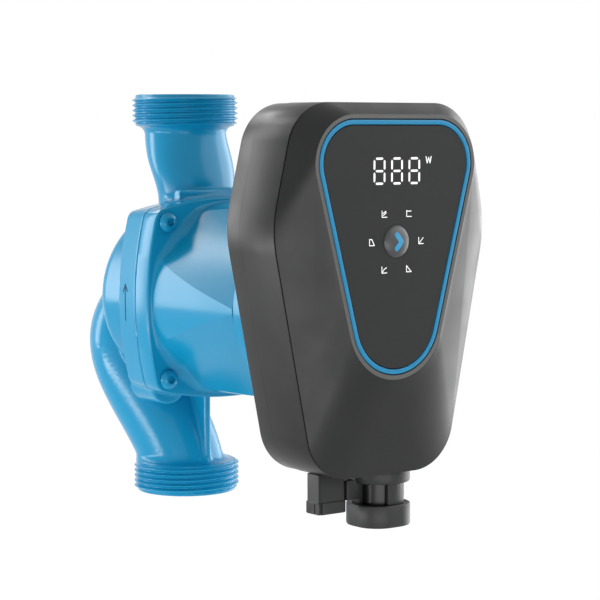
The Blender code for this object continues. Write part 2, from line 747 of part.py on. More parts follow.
def build_rotor_can():
    flange = motor_bore - SEAT_GAP
    collar = bearing_radius + SEAT_GAP
    flange_front = can_base + CAN_FLANGE
    can_profile = ((0, can_front), (can_radius, can_front), (can_radius, flange_front),
                   (flange, flange_front), (flange, can_base), (can_bore, can_base), (can_bore, can_floor),
                   (hub_radius, can_floor),
                   (hub_radius, rear_bearing_back), (collar, rear_bearing_back), (collar, can_floor),
                   (0, can_floor))
    bare_steel(turned("rotor_can", can_profile))
    seal_back = flange_front + SEAT_GAP
    seal = sleeve("can_seal", flange - SEAL_SECTION, flange, seal_back, seal_back + SEAL_SECTION)
    finish(seal, (36, 36, 37), 0.7)


def tooth_outline(turn):
    """One stator tooth with its curved pole shoe, pointing inwards."""
    root = stator_radius - STATOR_YOKE / 2
    shoe_outer = stator_bore + SHOE_DEPTH
    half = TOOTH_WIDTH / 2
    points = [(root, -half), (root, half), (math.sqrt(shoe_outer ** 2 - half ** 2), half)]
    steps = 6
    points.append((shoe_outer * math.cos(SHOE_ARC / 2), shoe_outer * math.sin(SHOE_ARC / 2)))
    for step in range(steps + 1):
        angle = SHOE_ARC / 2 - SHOE_ARC * step / steps
        points.append((stator_bore * math.cos(angle), stator_bore * math.sin(angle)))
    points.append((shoe_outer * math.cos(SHOE_ARC / 2), -shoe_outer * math.sin(SHOE_ARC / 2)))
    points.append((math.sqrt(shoe_outer ** 2 - half ** 2), -half))
    return [rotated(point, turn) for point in points]


def build_stator():
    core = sleeve("stator_core", stator_radius - STATOR_YOKE, stator_radius, stator_back, stator_front,
                  count=LARGE_ROUND)
    shape = bmesh.new()
    for number in range(TOOTH_COUNT):
        outline = tooth_outline(math.tau * number / TOOTH_COUNT)
        rings = [[FORWARD @ Vector((u, v, length)) for u, v in outline]
                 for length in (stator_back, stator_front)]
        add_skin(shape, rings)
    fuse(core, new_object("teeth", shape))
    finish(core, (120, 122, 126), 0.5, 1.0)

    low = stator_bore + SHOE_DEPTH + SEAT_GAP
    inner_size = (TOOTH_WIDTH + 2 * SEAT_GAP, STATOR_LENGTH + 2 * SEAT_GAP)
    outer_size = (inner_size[0] + 2 * WINDING_WIDTH, inner_size[1] + 2 * WINDING_WIDTH)
    yoke_bore = (stator_radius - STATOR_YOKE) * math.cos(math.pi / LARGE_ROUND) - SEAT_GAP
    high = math.sqrt(yoke_bore ** 2 - (outer_size[0] / 2) ** 2)
    inner = rounded_rectangle(inner_size, SEAT_GAP / 3, steps=2)
    outer = rounded_rectangle(outer_size, WINDING_CORNER, steps=2)
    middle = Vector((0, -(stator_back + stator_front) / 2, 0))
    for number in range(TOOTH_COUNT):
        # Local u runs round the stator, v along the motor axis and w outwards.
        turn = Matrix.Rotation(-math.tau * number / TOOTH_COUNT, 4, "Y")
        outwards = Matrix(((0, 0, 1, 0), (0, 1, 0, 0), (-1, 0, 0, 0), (0, 0, 0, 1)))
        coil = ring_prism(f"winding_{number + 1}", outer, inner, low, high,
                          Matrix.Translation(middle) @ turn @ outwards)
        finish(coil, (168, 92, 48), 0.4, 1.0)


def build_motor_housing():
    edge = FLANGE_CHAMFER
    flange_layers = ((motor_back, flange_outline()), (motor_face - edge, flange_outline()),
                     (motor_face, flange_outline(-edge)))
    body = lofted("motor_housing", flange_layers, FORWARD)
    drum_start = motor_face - edge
    drum = turned("drum", ((0, drum_front), (drum_front_radius, drum_front), (drum_back_radius, drum_start),
                           (0, drum_start)), count=LARGE_ROUND)
    layers = []
    for length in (drum_start - edge, drum_front + edge):
        apothem = facet_at_bore + FACET_SLOPE * (bore_front - length)
        tip = apothem * math.sqrt(2)
        layers.append((length, [(tip, 0), (0, tip), (-tip, 0), (0, -tip)]))
    combine(drum, lofted("drum_flats", layers, FORWARD), "INTERSECT")
    neck = turned("neck", ((0, neck_front), (neck_radius, neck_front), (neck_radius, drum_front - edge),
                           (0, drum_front - edge)), count=LARGE_ROUND)
    fuse(body, drum, neck)
    neck_bore = neck_radius - NECK_WALL
    neck_floor = drum_front + NECK_FLOOR
    inside_profile = ((0, motor_back - edge), (motor_bore, motor_back - edge), (motor_bore, bore_front),
                      (end_bore, bore_front), (end_bore, end_floor), (WIRE_HOLE, end_floor),
                      (WIRE_HOLE, neck_floor), (neck_bore, neck_floor), (neck_bore, neck_front + edge),
                      (0, neck_front + edge))
    cut(body, turned("motor_inside", inside_profile, count=LARGE_ROUND))
    for number, place in enumerate(corner_points(screw_offset), 1):
        cut(body, small_rod(f"motor_hole_{number}", screw_hole, motor_back - edge, motor_face + edge, place))
    for number, place in enumerate(box_screw_places(), 1):
        low = neck_front - BOX_SCREW_REACH - SEAT_GAP
        cut(body, small_rod(f"neck_hole_{number}", box_screw_hole, low, neck_front + edge, place))
    paint_blue(body)


def build_motor_screws():
    seat = motor_face + SEAT_GAP
    crown = seat + SCREW_HEAD_HEIGHT
    for number, place in enumerate(corner_points(screw_offset), 1):
        profile = ((0, crown), (SCREW_HEAD_RADIUS * 0.6, crown),
                   (SCREW_HEAD_RADIUS * 0.9, seat + SCREW_HEAD_HEIGHT * 0.6),
                   (SCREW_HEAD_RADIUS, seat + SCREW_HEAD_HEIGHT * 0.2), (SCREW_HEAD_RADIUS, seat),
                   (SCREW_RADIUS, seat), (SCREW_RADIUS, parting - SCREW_DEPTH), (0, parting - SCREW_DEPTH))
        screw = turned(f"motor_screw_{number}", profile, centre=place, count=SMALL_ROUND)
        socket_floor = seat + SCREW_HEAD_HEIGHT * 0.3
        cut(screw, rod(f"hex_{number}", SCREW_SOCKET, socket_floor, crown + SEAT_GAP, centre=place, count=6))
        paint_blue(screw)


def build_control_base():
    edge = BASE_EDGE
    inset = -BASE_INSET
    shell_layers = ((box_back, box_outline(inset - edge)), (box_back + edge, box_outline(inset)),
                    (base_front, box_outline(inset)))
    body = lofted("control_base", shell_layers, FORWARD)
    ledge = base_front - SEAL_SECTION
    narrow = -lip_inset - SEAT_GAP
    pocket = prism("base_pocket", box_outline(narrow), base_floor, base_front + edge)
    step = prism("base_step", box_outline(-seal_inset), ledge, base_front + edge)
    cut(body, pocket, step)
    post_root = box_back + BASE_WALL / 2
    for number, place in enumerate(board_posts(), 1):
        fuse(body, small_rod(f"board_post_{number}", POST_RADIUS, post_root, base_floor + POST_HEIGHT, place))
    for number, place in enumerate(cover_screw_places(), 1):
        fuse(body, small_rod(f"cover_post_{number}", COVER_POST_RADIUS, post_root, base_front, place))
    cut(body, rod("base_wire_hole", WIRE_HOLE, box_back - edge, base_floor + edge))
    for number, place in enumerate(box_screw_places(), 1):
        cut(body, small_rod(f"base_hole_{number}", box_screw_hole, box_back - edge, base_floor + edge, place))
    for number, place in enumerate(cover_screw_places(), 1):
        low = box_back - edge
        cut(body, small_rod(f"cover_hole_{number}", box_screw_hole, low, base_front + edge, place))
    mould_dark(body)

    seal = ring_prism("cover_seal", box_outline(-seal_inset - SEAT_GAP), box_outline(-lip_inset),
                      ledge + SEAT_GAP, base_front)
    finish(seal, (36, 36, 37), 0.7)


def board_posts():
    return [POST_TOP, (-POST_TOP[0], POST_TOP[1]), (-POST_FOOT[0], POST_FOOT[1]), POST_FOOT]


def cover_screw_places():
    """Screws inside the seal, on the diagonals of the box's corner circles."""
    places = []
    for (x, z, radius), rise in ((BOX_TOP, 1), (BOX_FOOT, -1)):
        reach = (radius - cover_screw_inset) / math.sqrt(2)
        for side in (1, -1):
            places.append((side * (x + reach), z + rise * reach))
    return places


def build_box_screws():
    head = base_floor + SEAT_GAP
    for number, place in enumerate(box_screw_places(), 1):
        tip = neck_front - BOX_SCREW_REACH
        profile = ((0, head + BOX_HEAD_HEIGHT), (BOX_HEAD_RADIUS, head + BOX_HEAD_HEIGHT),
                   (BOX_HEAD_RADIUS, head), (BOX_SCREW_RADIUS, head), (BOX_SCREW_RADIUS, tip), (0, tip))
        bare_steel(turned(f"box_screw_{number}", profile, centre=place, count=SMALL_ROUND))
    seat = box_back - SEAT_GAP
    for number, place in enumerate(cover_screw_places(), 1):
        tip = frame_back + COVER_BOSS_DEPTH / 2
        profile = ((0, tip), (BOX_SCREW_RADIUS, tip), (BOX_SCREW_RADIUS, seat), (BOX_HEAD_RADIUS, seat),
                   (BOX_HEAD_RADIUS, seat - BOX_HEAD_HEIGHT), (0, seat - BOX_HEAD_HEIGHT))
        bare_steel(turned(f"cover_screw_{number}", profile, centre=place, count=SMALL_ROUND))


def build_control_frame():
    body = prism("control_frame", box_outline(), frame_back, frame_front)
    lip_front = frame_back + FRAME_WALL
    bosses = []
    for number, place in enumerate(cover_screw_places(), 1):
        boss_back = frame_back + SEAT_GAP
        boss_front = boss_back + COVER_BOSS_DEPTH
        bosses.append(small_rod(f"cover_boss_{number}", COVER_BOSS_RADIUS, boss_back, boss_front, place))
    inside = prism("frame_inside", box_outline(-FRAME_WALL), lip_front, frame_front + FRAME_WALL)
    mouth = prism("frame_mouth", box_outline(-lip_inset), frame_back - FRAME_WALL, lip_front + FRAME_WALL)
    cut(body, inside, mouth)
    fuse(body, *bosses)
    for number, place in enumerate(cover_screw_places(), 1):
        depth = frame_back + COVER_BOSS_DEPTH / 2 + SEAT_GAP
        cut(body, small_rod(f"boss_hole_{number}", box_screw_hole, frame_back - FRAME_WALL, depth, place))
    for name, place in pin_places():
        low = box_bottom - FRAME_WALL
        cut(body, small_rod(f"{name}_hole", pin_hole, low, box_bottom + 2 * FRAME_WALL, place, UPWARD))
    mould_dark(body)


def build_front_cover():
    bezel = panel_outline(BEZEL_WIDTH)
    body = lofted("front_cover", ((cover_back, box_outline()), (cover_front, bezel)), FORWARD)
    opening = prism("trim_opening", panel_outline(SEAT_GAP), ledge_front, cover_front + COVER_WALL)
    window = prism("ledge_opening", panel_outline(-LEDGE_WIDTH), cover_back - COVER_WALL,
                   cover_front + COVER_WALL)
    outside = box_outline(-FRAME_WALL - SEAT_GAP)
    within = box_outline(-FRAME_WALL - SEAT_GAP - SKIRT_WALL)
    hollow_layers = ((cover_back - COVER_WALL, within), (ledge_back, panel_outline(-SEAT_GAP)))
    hollow = lofted("cover_hollow", hollow_layers, FORWARD)
    skirt = ring_prism("cover_skirt", outside, within, cover_back - SKIRT_DEPTH, cover_back + SEAT_GAP)
    cut(body, opening, window, hollow)
    fuse(body, skirt)
    for number, place in enumerate(display_posts(), 1):
        low = ledge_back - DISPLAY_POST
        fuse(body, small_rod(f"display_post_{number}", LEDGE_WIDTH / 2, low, ledge_back + SEAT_GAP, place))
    mould_dark(body)


def display_posts():
    """Posts on the back of the window ledge, where the display board rests."""
    top_x, top_z, top_radius = PANEL_TOP
    reach = top_radius - LEDGE_WIDTH / 2
    side = reach / math.sqrt(2)
    foot = PANEL_FOOT[1] - PANEL_FOOT[2] + LEDGE_WIDTH / 2
    return [(top_x + side, top_z + side), (-top_x - side, top_z + side), (0, foot)]


def build_panel():
    trim = ring_prism("panel_trim", panel_outline(), panel_outline(-TRIM_WIDTH), trim_back, cover_front)
    finish(trim, (50, 146, 187), 0.35)
    panel = prism("display_panel", panel_outline(-TRIM_WIDTH - SEAT_GAP), trim_back, panel_front)
    cut(panel, rod("button_hole", BUTTON_RADIUS + SEAT_GAP, trim_back - TRIM_DEPTH, cover_front + TRIM_DEPTH,
                   centre=(0, BUTTON_HEIGHT)))
    finish(panel, (63, 64, 64), 0.3)

    crown = cover_front + BUTTON_PROUD
    rim_front = trim_back - SEAT_GAP
    rim_radius = BUTTON_RADIUS + BUTTON_RIM
    profile = [(0, crown)]
    crown_steps = 4
    for step in range(1, crown_steps + 1):
        t = step / crown_steps
        profile.append((BUTTON_RADIUS * t, crown - BUTTON_CROWN * t * t))
    rim_back = rim_front - BUTTON_RIM_DEPTH
    profile += [(BUTTON_RADIUS, rim_front), (rim_radius, rim_front), (rim_radius, rim_back), (0, rim_back)]
    button = turned("mode_button", profile, centre=(0, BUTTON_HEIGHT))
    hang(button, FORWARD @ Vector((0, BUTTON_HEIGHT, cover_front)))
    finish(button, (84, 86, 88), 0.4)


def build_electronics():
    board = prism("main_board", box_outline(-board_inset), board_back, board_front)
    finish(board, (38, 92, 62), 0.5)
    on_board = board_front + SEAT_GAP
    capacitor = rod("capacitor", CAPACITOR_RADIUS, on_board, on_board + CAPACITOR_LENGTH, centre=CAPACITOR_AT)
    finish(capacitor, (40, 44, 60), 0.4)
    choke = sleeve("choke", CHOKE_HOLE, CHOKE_RADIUS, on_board, on_board + CHOKE_HEIGHT, centre=CHOKE_AT)
    finish(choke, (168, 92, 48), 0.4, 1.0)
    header_outline = rectangle(HEADER_SIZE, (0, HEADER_HEIGHT))
    header = prism("board_header", header_outline, on_board, display_back - SEAT_GAP)
    finish(header, (40, 40, 42), 0.5)
    display = prism("display_board", panel_outline(-DISPLAY_INSET), display_back, display_front)
    finish(display, (38, 92, 62), 0.5)
    on_display = display_front + SEAT_GAP
    digits = prism("digit_display", rectangle(DIGITS_SIZE, (0, DIGITS_HEIGHT)), on_display,
                   trim_back - SEAT_GAP)
    finish(digits, (60, 61, 61), 0.4)
    pressed = trim_back - SEAT_GAP - BUTTON_RIM_DEPTH - BUTTON_TRAVEL - SEAT_GAP
    behind_button = (0, BUTTON_HEIGHT)
    switch = prism("tact_switch", rectangle(SWITCH_SIZE, behind_button), on_display, on_display + SWITCH_BODY)
    fuse(switch, small_rod("switch_stem", SWITCH_STEM, on_display + SWITCH_BODY / 2, pressed, behind_button))
    finish(switch, (44, 44, 46), 0.5)


def pin_places():
    places = []
    for number in range(PIN_COUNT):
        step = (number - (PIN_COUNT - 1) / 2) * PIN_PITCH
        places.append((f"signal_pin_{number + 1}", (signal_at[0] + step, -signal_at[1])))
        places.append((f"power_pin_{number + 1}", (power_at[0] + step, -power_at[1])))
    return places


def box_cutter(name):
    """The box's outside with a seat gap, for trimming what sits under it."""
    return prism(name, box_outline(SEAT_GAP), box_back - BASE_EDGE, cover_back)


def build_signal_socket():
    x, forward = signal_at
    centre = (x, -forward)
    top = box_bottom + SIGNAL_WALL
    outline = rounded_rectangle(SIGNAL_SIZE, SIGNAL_CORNER, centre)
    body = prism("signal_socket", outline, signal_mouth, top, UPWARD)
    foot_width, foot_height = SIGNAL_FOOT
    foot_centre = (x - SIGNAL_SIZE[0] / 2, -forward)
    foot = prism("signal_foot", rectangle((foot_width, SIGNAL_SIZE[1] - SIGNAL_WALL), foot_centre),
                 signal_mouth, signal_mouth + foot_height, UPWARD)
    fuse(body, foot)
    cavity_size = (SIGNAL_SIZE[0] - 2 * SIGNAL_WALL, SIGNAL_SIZE[1] - 2 * SIGNAL_WALL)
    cavity = prism("signal_cavity", rectangle(cavity_size, centre), signal_mouth - SIGNAL_WALL,
                   box_bottom - SOCKET_FLOOR, UPWARD)
    cut(body, cavity, box_cutter("signal_trim"))
    for name, place in pin_places():
        if name.startswith("signal"):
            cut(body, small_rod(f"{name}_clear", pin_hole, signal_mouth, top + SIGNAL_WALL, place, UPWARD))
    mould_dark(body)


def build_power_socket():
    x, forward = power_at
    centre = (x, -forward)
    top = box_bottom + POWER_FLANGE / 2
    flange_low = box_bottom - POWER_FLANGE
    inner = POWER_NECK - POWER_NECK_WALL
    body = rod("power_socket", POWER_RADIUS, flange_low, top, UPWARD, centre)
    fuse(body, sleeve("power_neck", inner, POWER_NECK, power_neck_low, flange_low + SEAT_GAP, UPWARD, centre))
    window_outline = sector(inner - POWER_NECK_WALL, POWER_RADIUS + POWER_NECK_WALL, WINDOW_START,
                            POWER_WINDOW, centre)
    window = prism("power_window", window_outline, power_neck_low - SOCKET_FLOOR, flange_low + SEAT_GAP,
                   UPWARD)
    cut(body, window, box_cutter("power_trim"))
    for name, place in pin_places():
        if name.startswith("power"):
            cut(body, small_rod(f"{name}_clear", pin_hole, power_neck_low, top + POWER_FLANGE, place, UPWARD))
    mould_dark(body)

    insert_radius = inner - SEAT_GAP
    insert_top = flange_low - SEAT_GAP
    cavity = insert_radius - POWER_INSERT_WALL
    cavity_top = insert_top - SOCKET_FLOOR
    insert = rod("power_insert", insert_radius, power_mouth + SEAT_GAP, insert_top, UPWARD, centre)
    cut(insert, rod("power_cavity", cavity, power_mouth - SEAT_GAP, cavity_top, UPWARD, centre))
    for name, place in pin_places():
        if name.startswith("power"):
            cut(insert, small_rod(f"{name}_way", pin_hole, power_mouth, flange_low, place, UPWARD))
    finish(insert, (52, 53, 53), 0.5)
    lock_ring = sleeve("power_lock_ring", insert_radius + SEAT_GAP, POWER_RADIUS, power_mouth,
                       power_neck_low - SEAT_GAP, UPWARD, centre)
    mould_dark(lock_ring)


def build_pins():
    top = box_bottom + 2 * FRAME_WALL
    for name, place in pin_places():
        tip = (signal_mouth if name.startswith("signal") else power_mouth) + PIN_RECESS
        pin = small_rod(name, PIN_RADIUS, tip, top, place, UPWARD)
        finish(pin, (200, 170, 96), 0.3, 1.0)


def main():
    start_empty_scene()
    rotor_axis = bpy.data.objects.new("rotor_axis", None)
    bpy.context.collection.objects.link(rotor_axis)
    build_pump_housing()
    build_impeller(rotor_axis)
    build_rotor(rotor_axis)
    build_bearings()
    build_rotor_can()
    build_stator()
    build_motor_housing()
    build_motor_screws()
    build_control_base()
    build_box_screws()
    build_control_frame()
    build_front_cover()
    build_panel()
    build_electronics()
    build_signal_socket()
    build_power_socket()
    build_pins()


main()
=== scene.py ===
"""Looks of the circulator pump: painted castings, moulded control box, display and sockets.

Lengths are in millimetres until a mesh is made. Depth, written l, runs from the pipe axis
towards the display (-Y).
"""

import math

import bmesh
import bpy
import numpy as np
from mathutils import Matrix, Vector


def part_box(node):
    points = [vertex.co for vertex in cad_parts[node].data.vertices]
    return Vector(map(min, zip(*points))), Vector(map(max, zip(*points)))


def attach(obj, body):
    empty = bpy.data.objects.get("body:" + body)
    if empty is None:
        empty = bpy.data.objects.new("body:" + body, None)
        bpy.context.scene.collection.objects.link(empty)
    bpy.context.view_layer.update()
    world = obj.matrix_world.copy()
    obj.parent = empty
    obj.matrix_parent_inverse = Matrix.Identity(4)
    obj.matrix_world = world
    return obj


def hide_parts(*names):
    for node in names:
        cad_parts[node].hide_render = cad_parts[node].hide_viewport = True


MM = 0.001
BODY = "pump_body"
MATHS = "ShaderNodeMath"

# Ports and cast passages
PORT_HALF = 90.0
PORT_BORE = 14.0
THREAD_OUTER = 23.9
THREAD_ROOT = 22.35
THREAD_LENGTH = 13.8
THREAD_PITCH = 2.309
NECK_RADIUS = 18.3
NECK_BEND = (44.0, 76.0)
NECK_FORWARD = 8.7
NECK_SWELL = 1.6
NECK_SQUASH = 2.6
SWELL_BEND = (60.0, 76.0)
NECK_WAIST = 2.4
WAIST_BEND = (40.0, 60.0)
NECK_ENDS = (22.0, 80.0)
OUTLET_BORE_FOOT = 28.0
ELBOW = np.array((-4.6, 19.3, -6.0))
SUCTION_RISE = 35.0
SUCTION_SWEEP = np.array((-18.0, 22.5, -22.0))
DUCT_SWELL = 2.8
DUCT_STEPS = 40
ELBOW_SWELL = 0.6
VOLUTE_RADIUS = 41.0
VOLUTE_BACK = -13.5
VOLUTE_EDGE = 10.5
CHAMBER_RADIUS = 36.0
CHAMBER_BACK = 4.3
SEAT_RADIUS = 39.0
SEAT_FLOOR = 22.7
EYE_RADIUS = 16.0
RIB_HALF = 1.6
RIB_DEPTHS = (-2.0, 17.5)
RIB_ENDS = (-77.0, -22.0)
LAND_HALF = 20.4
LAND_ENDS = (34.0, 48.0)
LAND_DEPTH = 23.2
LAND_THICK_HALF = 2.6
BOSS_AT = (26.5, 37.0)
BOSS_RADIUS = 9.2
BOSS_DEPTH = 16.5
BOSS_LONG_HALF = 9.0

# Cast edges and fillets
CAST_EDGE = 0.9
COLLAR_EDGE = 0.7
LAND_EDGE = 1.6
RIB_EDGE = 1.0
FLANGE_BLEND = 2.5
COLLAR_BLEND = 4.5
PORT_BLEND = 4.0
DUCT_BLEND = 3.0
ELBOW_BLEND = 2.0
RIB_BLEND = 1.6
LAND_BLEND = 1.2
PARTING_EDGE = 0.5
BORE_EDGE = 0.8
# How far a shape runs past the face where it is cut, and how far the duct stops short of its port
CUT_SPARE = 4.0
DUCT_SHORT = 2.0
CAST_STEP = 0.92

# Flanges and motor
FLANGE_BACK = 11.0
PARTING = 26.3
MOTOR_BACK = 26.6
MOTOR_FACE = 36.3
FLANGE_HALF = 44.8
FLANGE_CORNER = 6.0
FLANGE_DRAFT = 0.1
SCREW_AT = 34.45
FLANGE_LEAD = SCREW_AT - FLANGE_HALF
# Radius of the flange's bulging sides, which run into the arcs about the screws
FLANGE_SIDE = (FLANGE_CORNER ** 2 - FLANGE_LEAD ** 2 - SCREW_AT ** 2) / (2 * (FLANGE_LEAD + FLANGE_CORNER))
LOWER_SQUASH = 1.025
DRUM_FRONT = 93.0
DRUM_RADII = (42.9, 41.0)
FLAT_AT_FACE = 40.6
FLAT_SLOPE = 0.19
FLAT_CROWN = 3.2
NECK_RING = 40.8
NECK_FRONT = 106.7

# Control box
BOX_CIRCLES = ((27.0, 64.4, 20.8), (6.9, 34.7, 47.2), (17.4, -44.3, 20.9))
PANEL_CIRCLES = ((21.9, 61.0, 17.3), (0.0, -0.9, 22.4))
BOX_BACK = 107.0
BASE_FRONT = 116.3
FRAME_BACK = 116.6
FRAME_FRONT = 139.1
COVER_BACK = 139.4
COVER_FRONT = 148.8
BASE_INSET = 0.2
COVER_HEAD = 2.8
BEZEL = 2.0
TRIM = 1.9
BUTTON_Z = 29.9
BUTTON_RADIUS = 6.5
BUTTON_COLLAR = 7.7
BOX_BOTTOM = -65.2
DIGITS_Z = 58.0
DIGIT_PITCH = 9.05
UNIT_AT = (16.6, 62.3)
SIGN_RADIUS = 12.8
SIGN_STROKE = 0.34
POWER_AT = (12.4, -122.6)
SIGNAL_AT = (-13.9, -120.8)
SIGNAL_HALF = (6.75, 4.5)

# Stage
FLOOR_Z = -700.0
FLOOR_REACH = 3000.0

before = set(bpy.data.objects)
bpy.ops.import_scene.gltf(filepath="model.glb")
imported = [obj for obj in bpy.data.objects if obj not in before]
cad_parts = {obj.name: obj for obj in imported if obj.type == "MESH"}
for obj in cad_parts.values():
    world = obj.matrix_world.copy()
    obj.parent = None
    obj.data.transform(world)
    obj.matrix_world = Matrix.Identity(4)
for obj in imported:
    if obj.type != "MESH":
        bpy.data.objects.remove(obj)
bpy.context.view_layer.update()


# Materials

def colour(code):
    """sRGB hex to a linear colour."""
    parts = [int(code[place:place + 2], 16) / 255 for place in (1, 3, 5)]
    return (*[c / 12.92 if c <= 0.04045 else ((c + 0.055) / 1.055) ** 2.4 for c in parts], 1.0)


def add(tree, kind, inputs=None, **settings):
    """Add a node with its settings. An input is given a value, or a socket or node to link from."""
    node = tree.nodes.new(kind)
    for name, value in settings.items():
        setattr(node, name, value)
    for name, value in (inputs or {}).items():
        if isinstance(value, bpy.types.Node):
            value = value.outputs[0]
        if isinstance(value, bpy.types.NodeSocket):
            tree.links.new(value, node.inputs[name])
        else:
            node.inputs[name].default_value = value
    return node


def surface(name, base, shade, roughness, grain_mm, grain_depth_mm, cloud_mm=14.0, spread=0.05, **shader):
    """Finish with a slow drift between two near colours, a little uneven gloss and a fine grain."""
    material = bpy.data.materials.new(name)
    material.use_nodes = True
    tree = material.node_tree
    principled = tree.nodes["Principled BSDF"]
    for socket, value in shader.items():
        principled.inputs[socket.replace("_", " ")].default_value = value
    where = add(tree, "ShaderNodeTexCoord").outputs["Object"]
    cloud = add(tree, "ShaderNodeTexNoise", {"Vector": where, "Scale": 1000 / cloud_mm, "Detail": 3.0})
    tint = add(tree, "ShaderNodeMix", {0: cloud.outputs["Fac"], 6: colour(base), 7: colour(shade)},
               data_type="RGBA")
    tree.links.new(tint.outputs[2], principled.inputs["Base Color"])
    gloss = add(tree, "ShaderNodeMapRange", {"Value": cloud.outputs["Fac"], "From Min": 0.3, "From Max": 0.7,
                                             "To Min": roughness - spread, "To Max": roughness + spread})
    tree.links.new(gloss.outputs[0], principled.inputs["Roughness"])
    grain = add(tree, "ShaderNodeTexNoise", {"Vector": where, "Scale": 1000 / grain_mm, "Detail": 2.0})
    bump = add(tree, "ShaderNodeBump", {"Height": grain.outputs["Fac"], "Strength": 0.5,
                                        "Distance": grain_depth_mm * MM})
    tree.links.new(bump.outputs[0], principled.inputs["Normal"])
    return material


# Stoved enamel over sand-cast iron: even blue gloss with a soft orange peel of about 2 mm.
blue_enamel = surface("blue_stoved_enamel", "#1391be", "#118cb8", 0.2, 2.2, 0.001, spread=0.015,
                      IOR=1.5, Specular_IOR_Level=0.26)
# Painted shade of an engraved groove: the same blue, but darker, with little gloss.
groove_shade_enamel = surface("painted_groove_shade", "#0a4a6a", "#094463", 0.5, 1.2, 0.002,
                        IOR=1.5, Specular_IOR_Level=0.08)
# Moulded ABS with a spark-eroded skin: dark grey, satin, drawn at 0.5 mm so that it shows.
moulded_abs = surface("dark_moulded_abs", "#1d1e1e", "#1b1c1c", 0.34, 0.5, 0.006,
                      IOR=1.5, Specular_IOR_Level=0.28)
# The same ABS on the narrow flat ring round the window, paler and with a shallower grain.
bezel_abs = surface("pale_bezel_abs", "#535352", "#50504f", 0.34, 0.5, 0.004, IOR=1.5)
# Hard-coated polyester window film: dark, even and nearly matt.
window_film = surface("smoked_window_film", "#262727", "#242525", 0.5, 0.6, 0.002,
                      IOR=1.45, Specular_IOR_Level=0.22)
# Coloured polycarbonate light guide: clear blue with a soft gloss.
blue_trim = surface("blue_polycarbonate", "#1b82ae", "#197eaa", 0.35, 0.8, 0.002,
                    IOR=1.55, Specular_IOR_Level=0.3)
# Glass-filled nylon of the plug sockets: greyer and rougher than the box.
filled_nylon = surface("glass_filled_nylon", "#262727", "#232424", 0.45, 0.45, 0.012,
                       IOR=1.53, Specular_IOR_Level=0.3)
# Unfilled nylon of the plug barrel: blacker and glossier.
barrel_nylon = surface("glossy_nylon", "#141515", "#121313", 0.3, 0.5, 0.004,
                       IOR=1.53, Specular_IOR_Level=0.3)
# Moulded nylon of the wheel and of the small electrical parts: black and satin.
black_nylon = surface("black_nylon", "#1c1d1d", "#1a1b1b", 0.42, 0.45, 0.01, IOR=1.53)
# Finely eroded ABS of the button: satin grey, lighter than the box.
button_abs = surface("satin_button_abs", "#3a3c3e", "#38393b", 0.36, 0.5, 0.004, IOR=1.5)
# White screen print, lit from behind.
white_print = surface("white_screen_print", "#f2f3f2", "#eeeeed", 0.6, 0.4, 0.002, IOR=1.45,
                      Emission_Color=colour("#f2f3f2"), Emission_Strength=0.3)
# Blue screen print: flat and even.
blue_print = surface("blue_screen_print", "#2f93c2", "#2c8fbe", 0.5, 0.4, 0.002, IOR=1.45)
# Turned stainless steel: bright with a fine uneven sheen.
bright_steel = surface("turned_stainless_steel", "#b9bbbd", "#adafb1", 0.3, 0.6, 0.004, Metallic=1.0)
# Stacked core iron: dull grey metal.
dark_iron = surface("laminated_iron", "#6e7074", "#64666a", 0.5, 0.5, 0.01, Metallic=1.0)
# Enamelled copper wire: warm brown with a soft gloss.
enamelled_copper = surface("enamelled_copper", "#a85c30", "#98502a", 0.38, 0.6, 0.02, Metallic=1.0)
# Drawn brass of the contacts: pale gold and smooth.
contact_brass = surface("drawn_brass", "#c8aa60", "#bc9e56", 0.3, 0.6, 0.004, Metallic=1.0)
# Ground ceramic: off-white, dense and smooth.
ground_ceramic = surface("ground_ceramic", "#e0ded6", "#d8d6ce", 0.3, 0.6, 0.003, IOR=1.7)
# Moulded EPDM rubber: matt and nearly black.
seal_rubber = surface("epdm_rubber", "#262627", "#222223", 0.7, 0.6, 0.015, IOR=1.5)
# Lacquered circuit board: deep green with a soft gloss.
board_lacquer = surface("lacquered_board", "#265c3e", "#225438", 0.4, 0.6, 0.004, IOR=1.5)


# Mesh helpers

def make_object(name, points, faces, material, sharp=30.0):
    """Mesh object from points in millimetres, smooth except at edges sharper than an angle."""
    mesh = bpy.data.meshes.new(name)
    mesh.from_pydata((np.asarray(points, float) * MM).tolist(), [], [tuple(face) for face in faces])
    return link_mesh(name, mesh, material, sharp)


def link_mesh(name, mesh, material, sharp=30.0):
    """Object in one material from a mesh."""
    mesh.shade_smooth()
    if sharp is not None:
        mesh.set_sharp_from_angle(angle=math.radians(sharp))
    mesh.materials.clear()
    mesh.materials.append(material)
    item = bpy.data.objects.new(name, mesh)
    bpy.context.scene.collection.objects.link(item)
    return item


def settle(item, slot, *nodes, body=BODY):
    """Tie a finished piece to its body and hide the solids it stands for. The slot is not used."""
    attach(item, body)
    if nodes:
        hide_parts(*nodes)
    return item


def skin(rings, closed=False):
    """Points and faces of a run of matching rings. A closed run joins its last ring to its first."""
    rings = [np.asarray(ring, float) for ring in rings]
    count = len(rings[0])
    points = np.concatenate(rings)
    faces = []
    runs = len(rings) if closed else len(rings) - 1
    for row in range(runs):
        low = row * count
        high = (row + 1) % len(rings) * count
        for step in range(count):
            after = (step + 1) % count
            faces.append((low + step, low + after, high + after, high + step))
    if not closed:
        faces.append(tuple(range(count - 1, -1, -1)))
        faces.append(tuple(range((len(rings) - 1) * count, len(rings) * count)))
    return points, faces


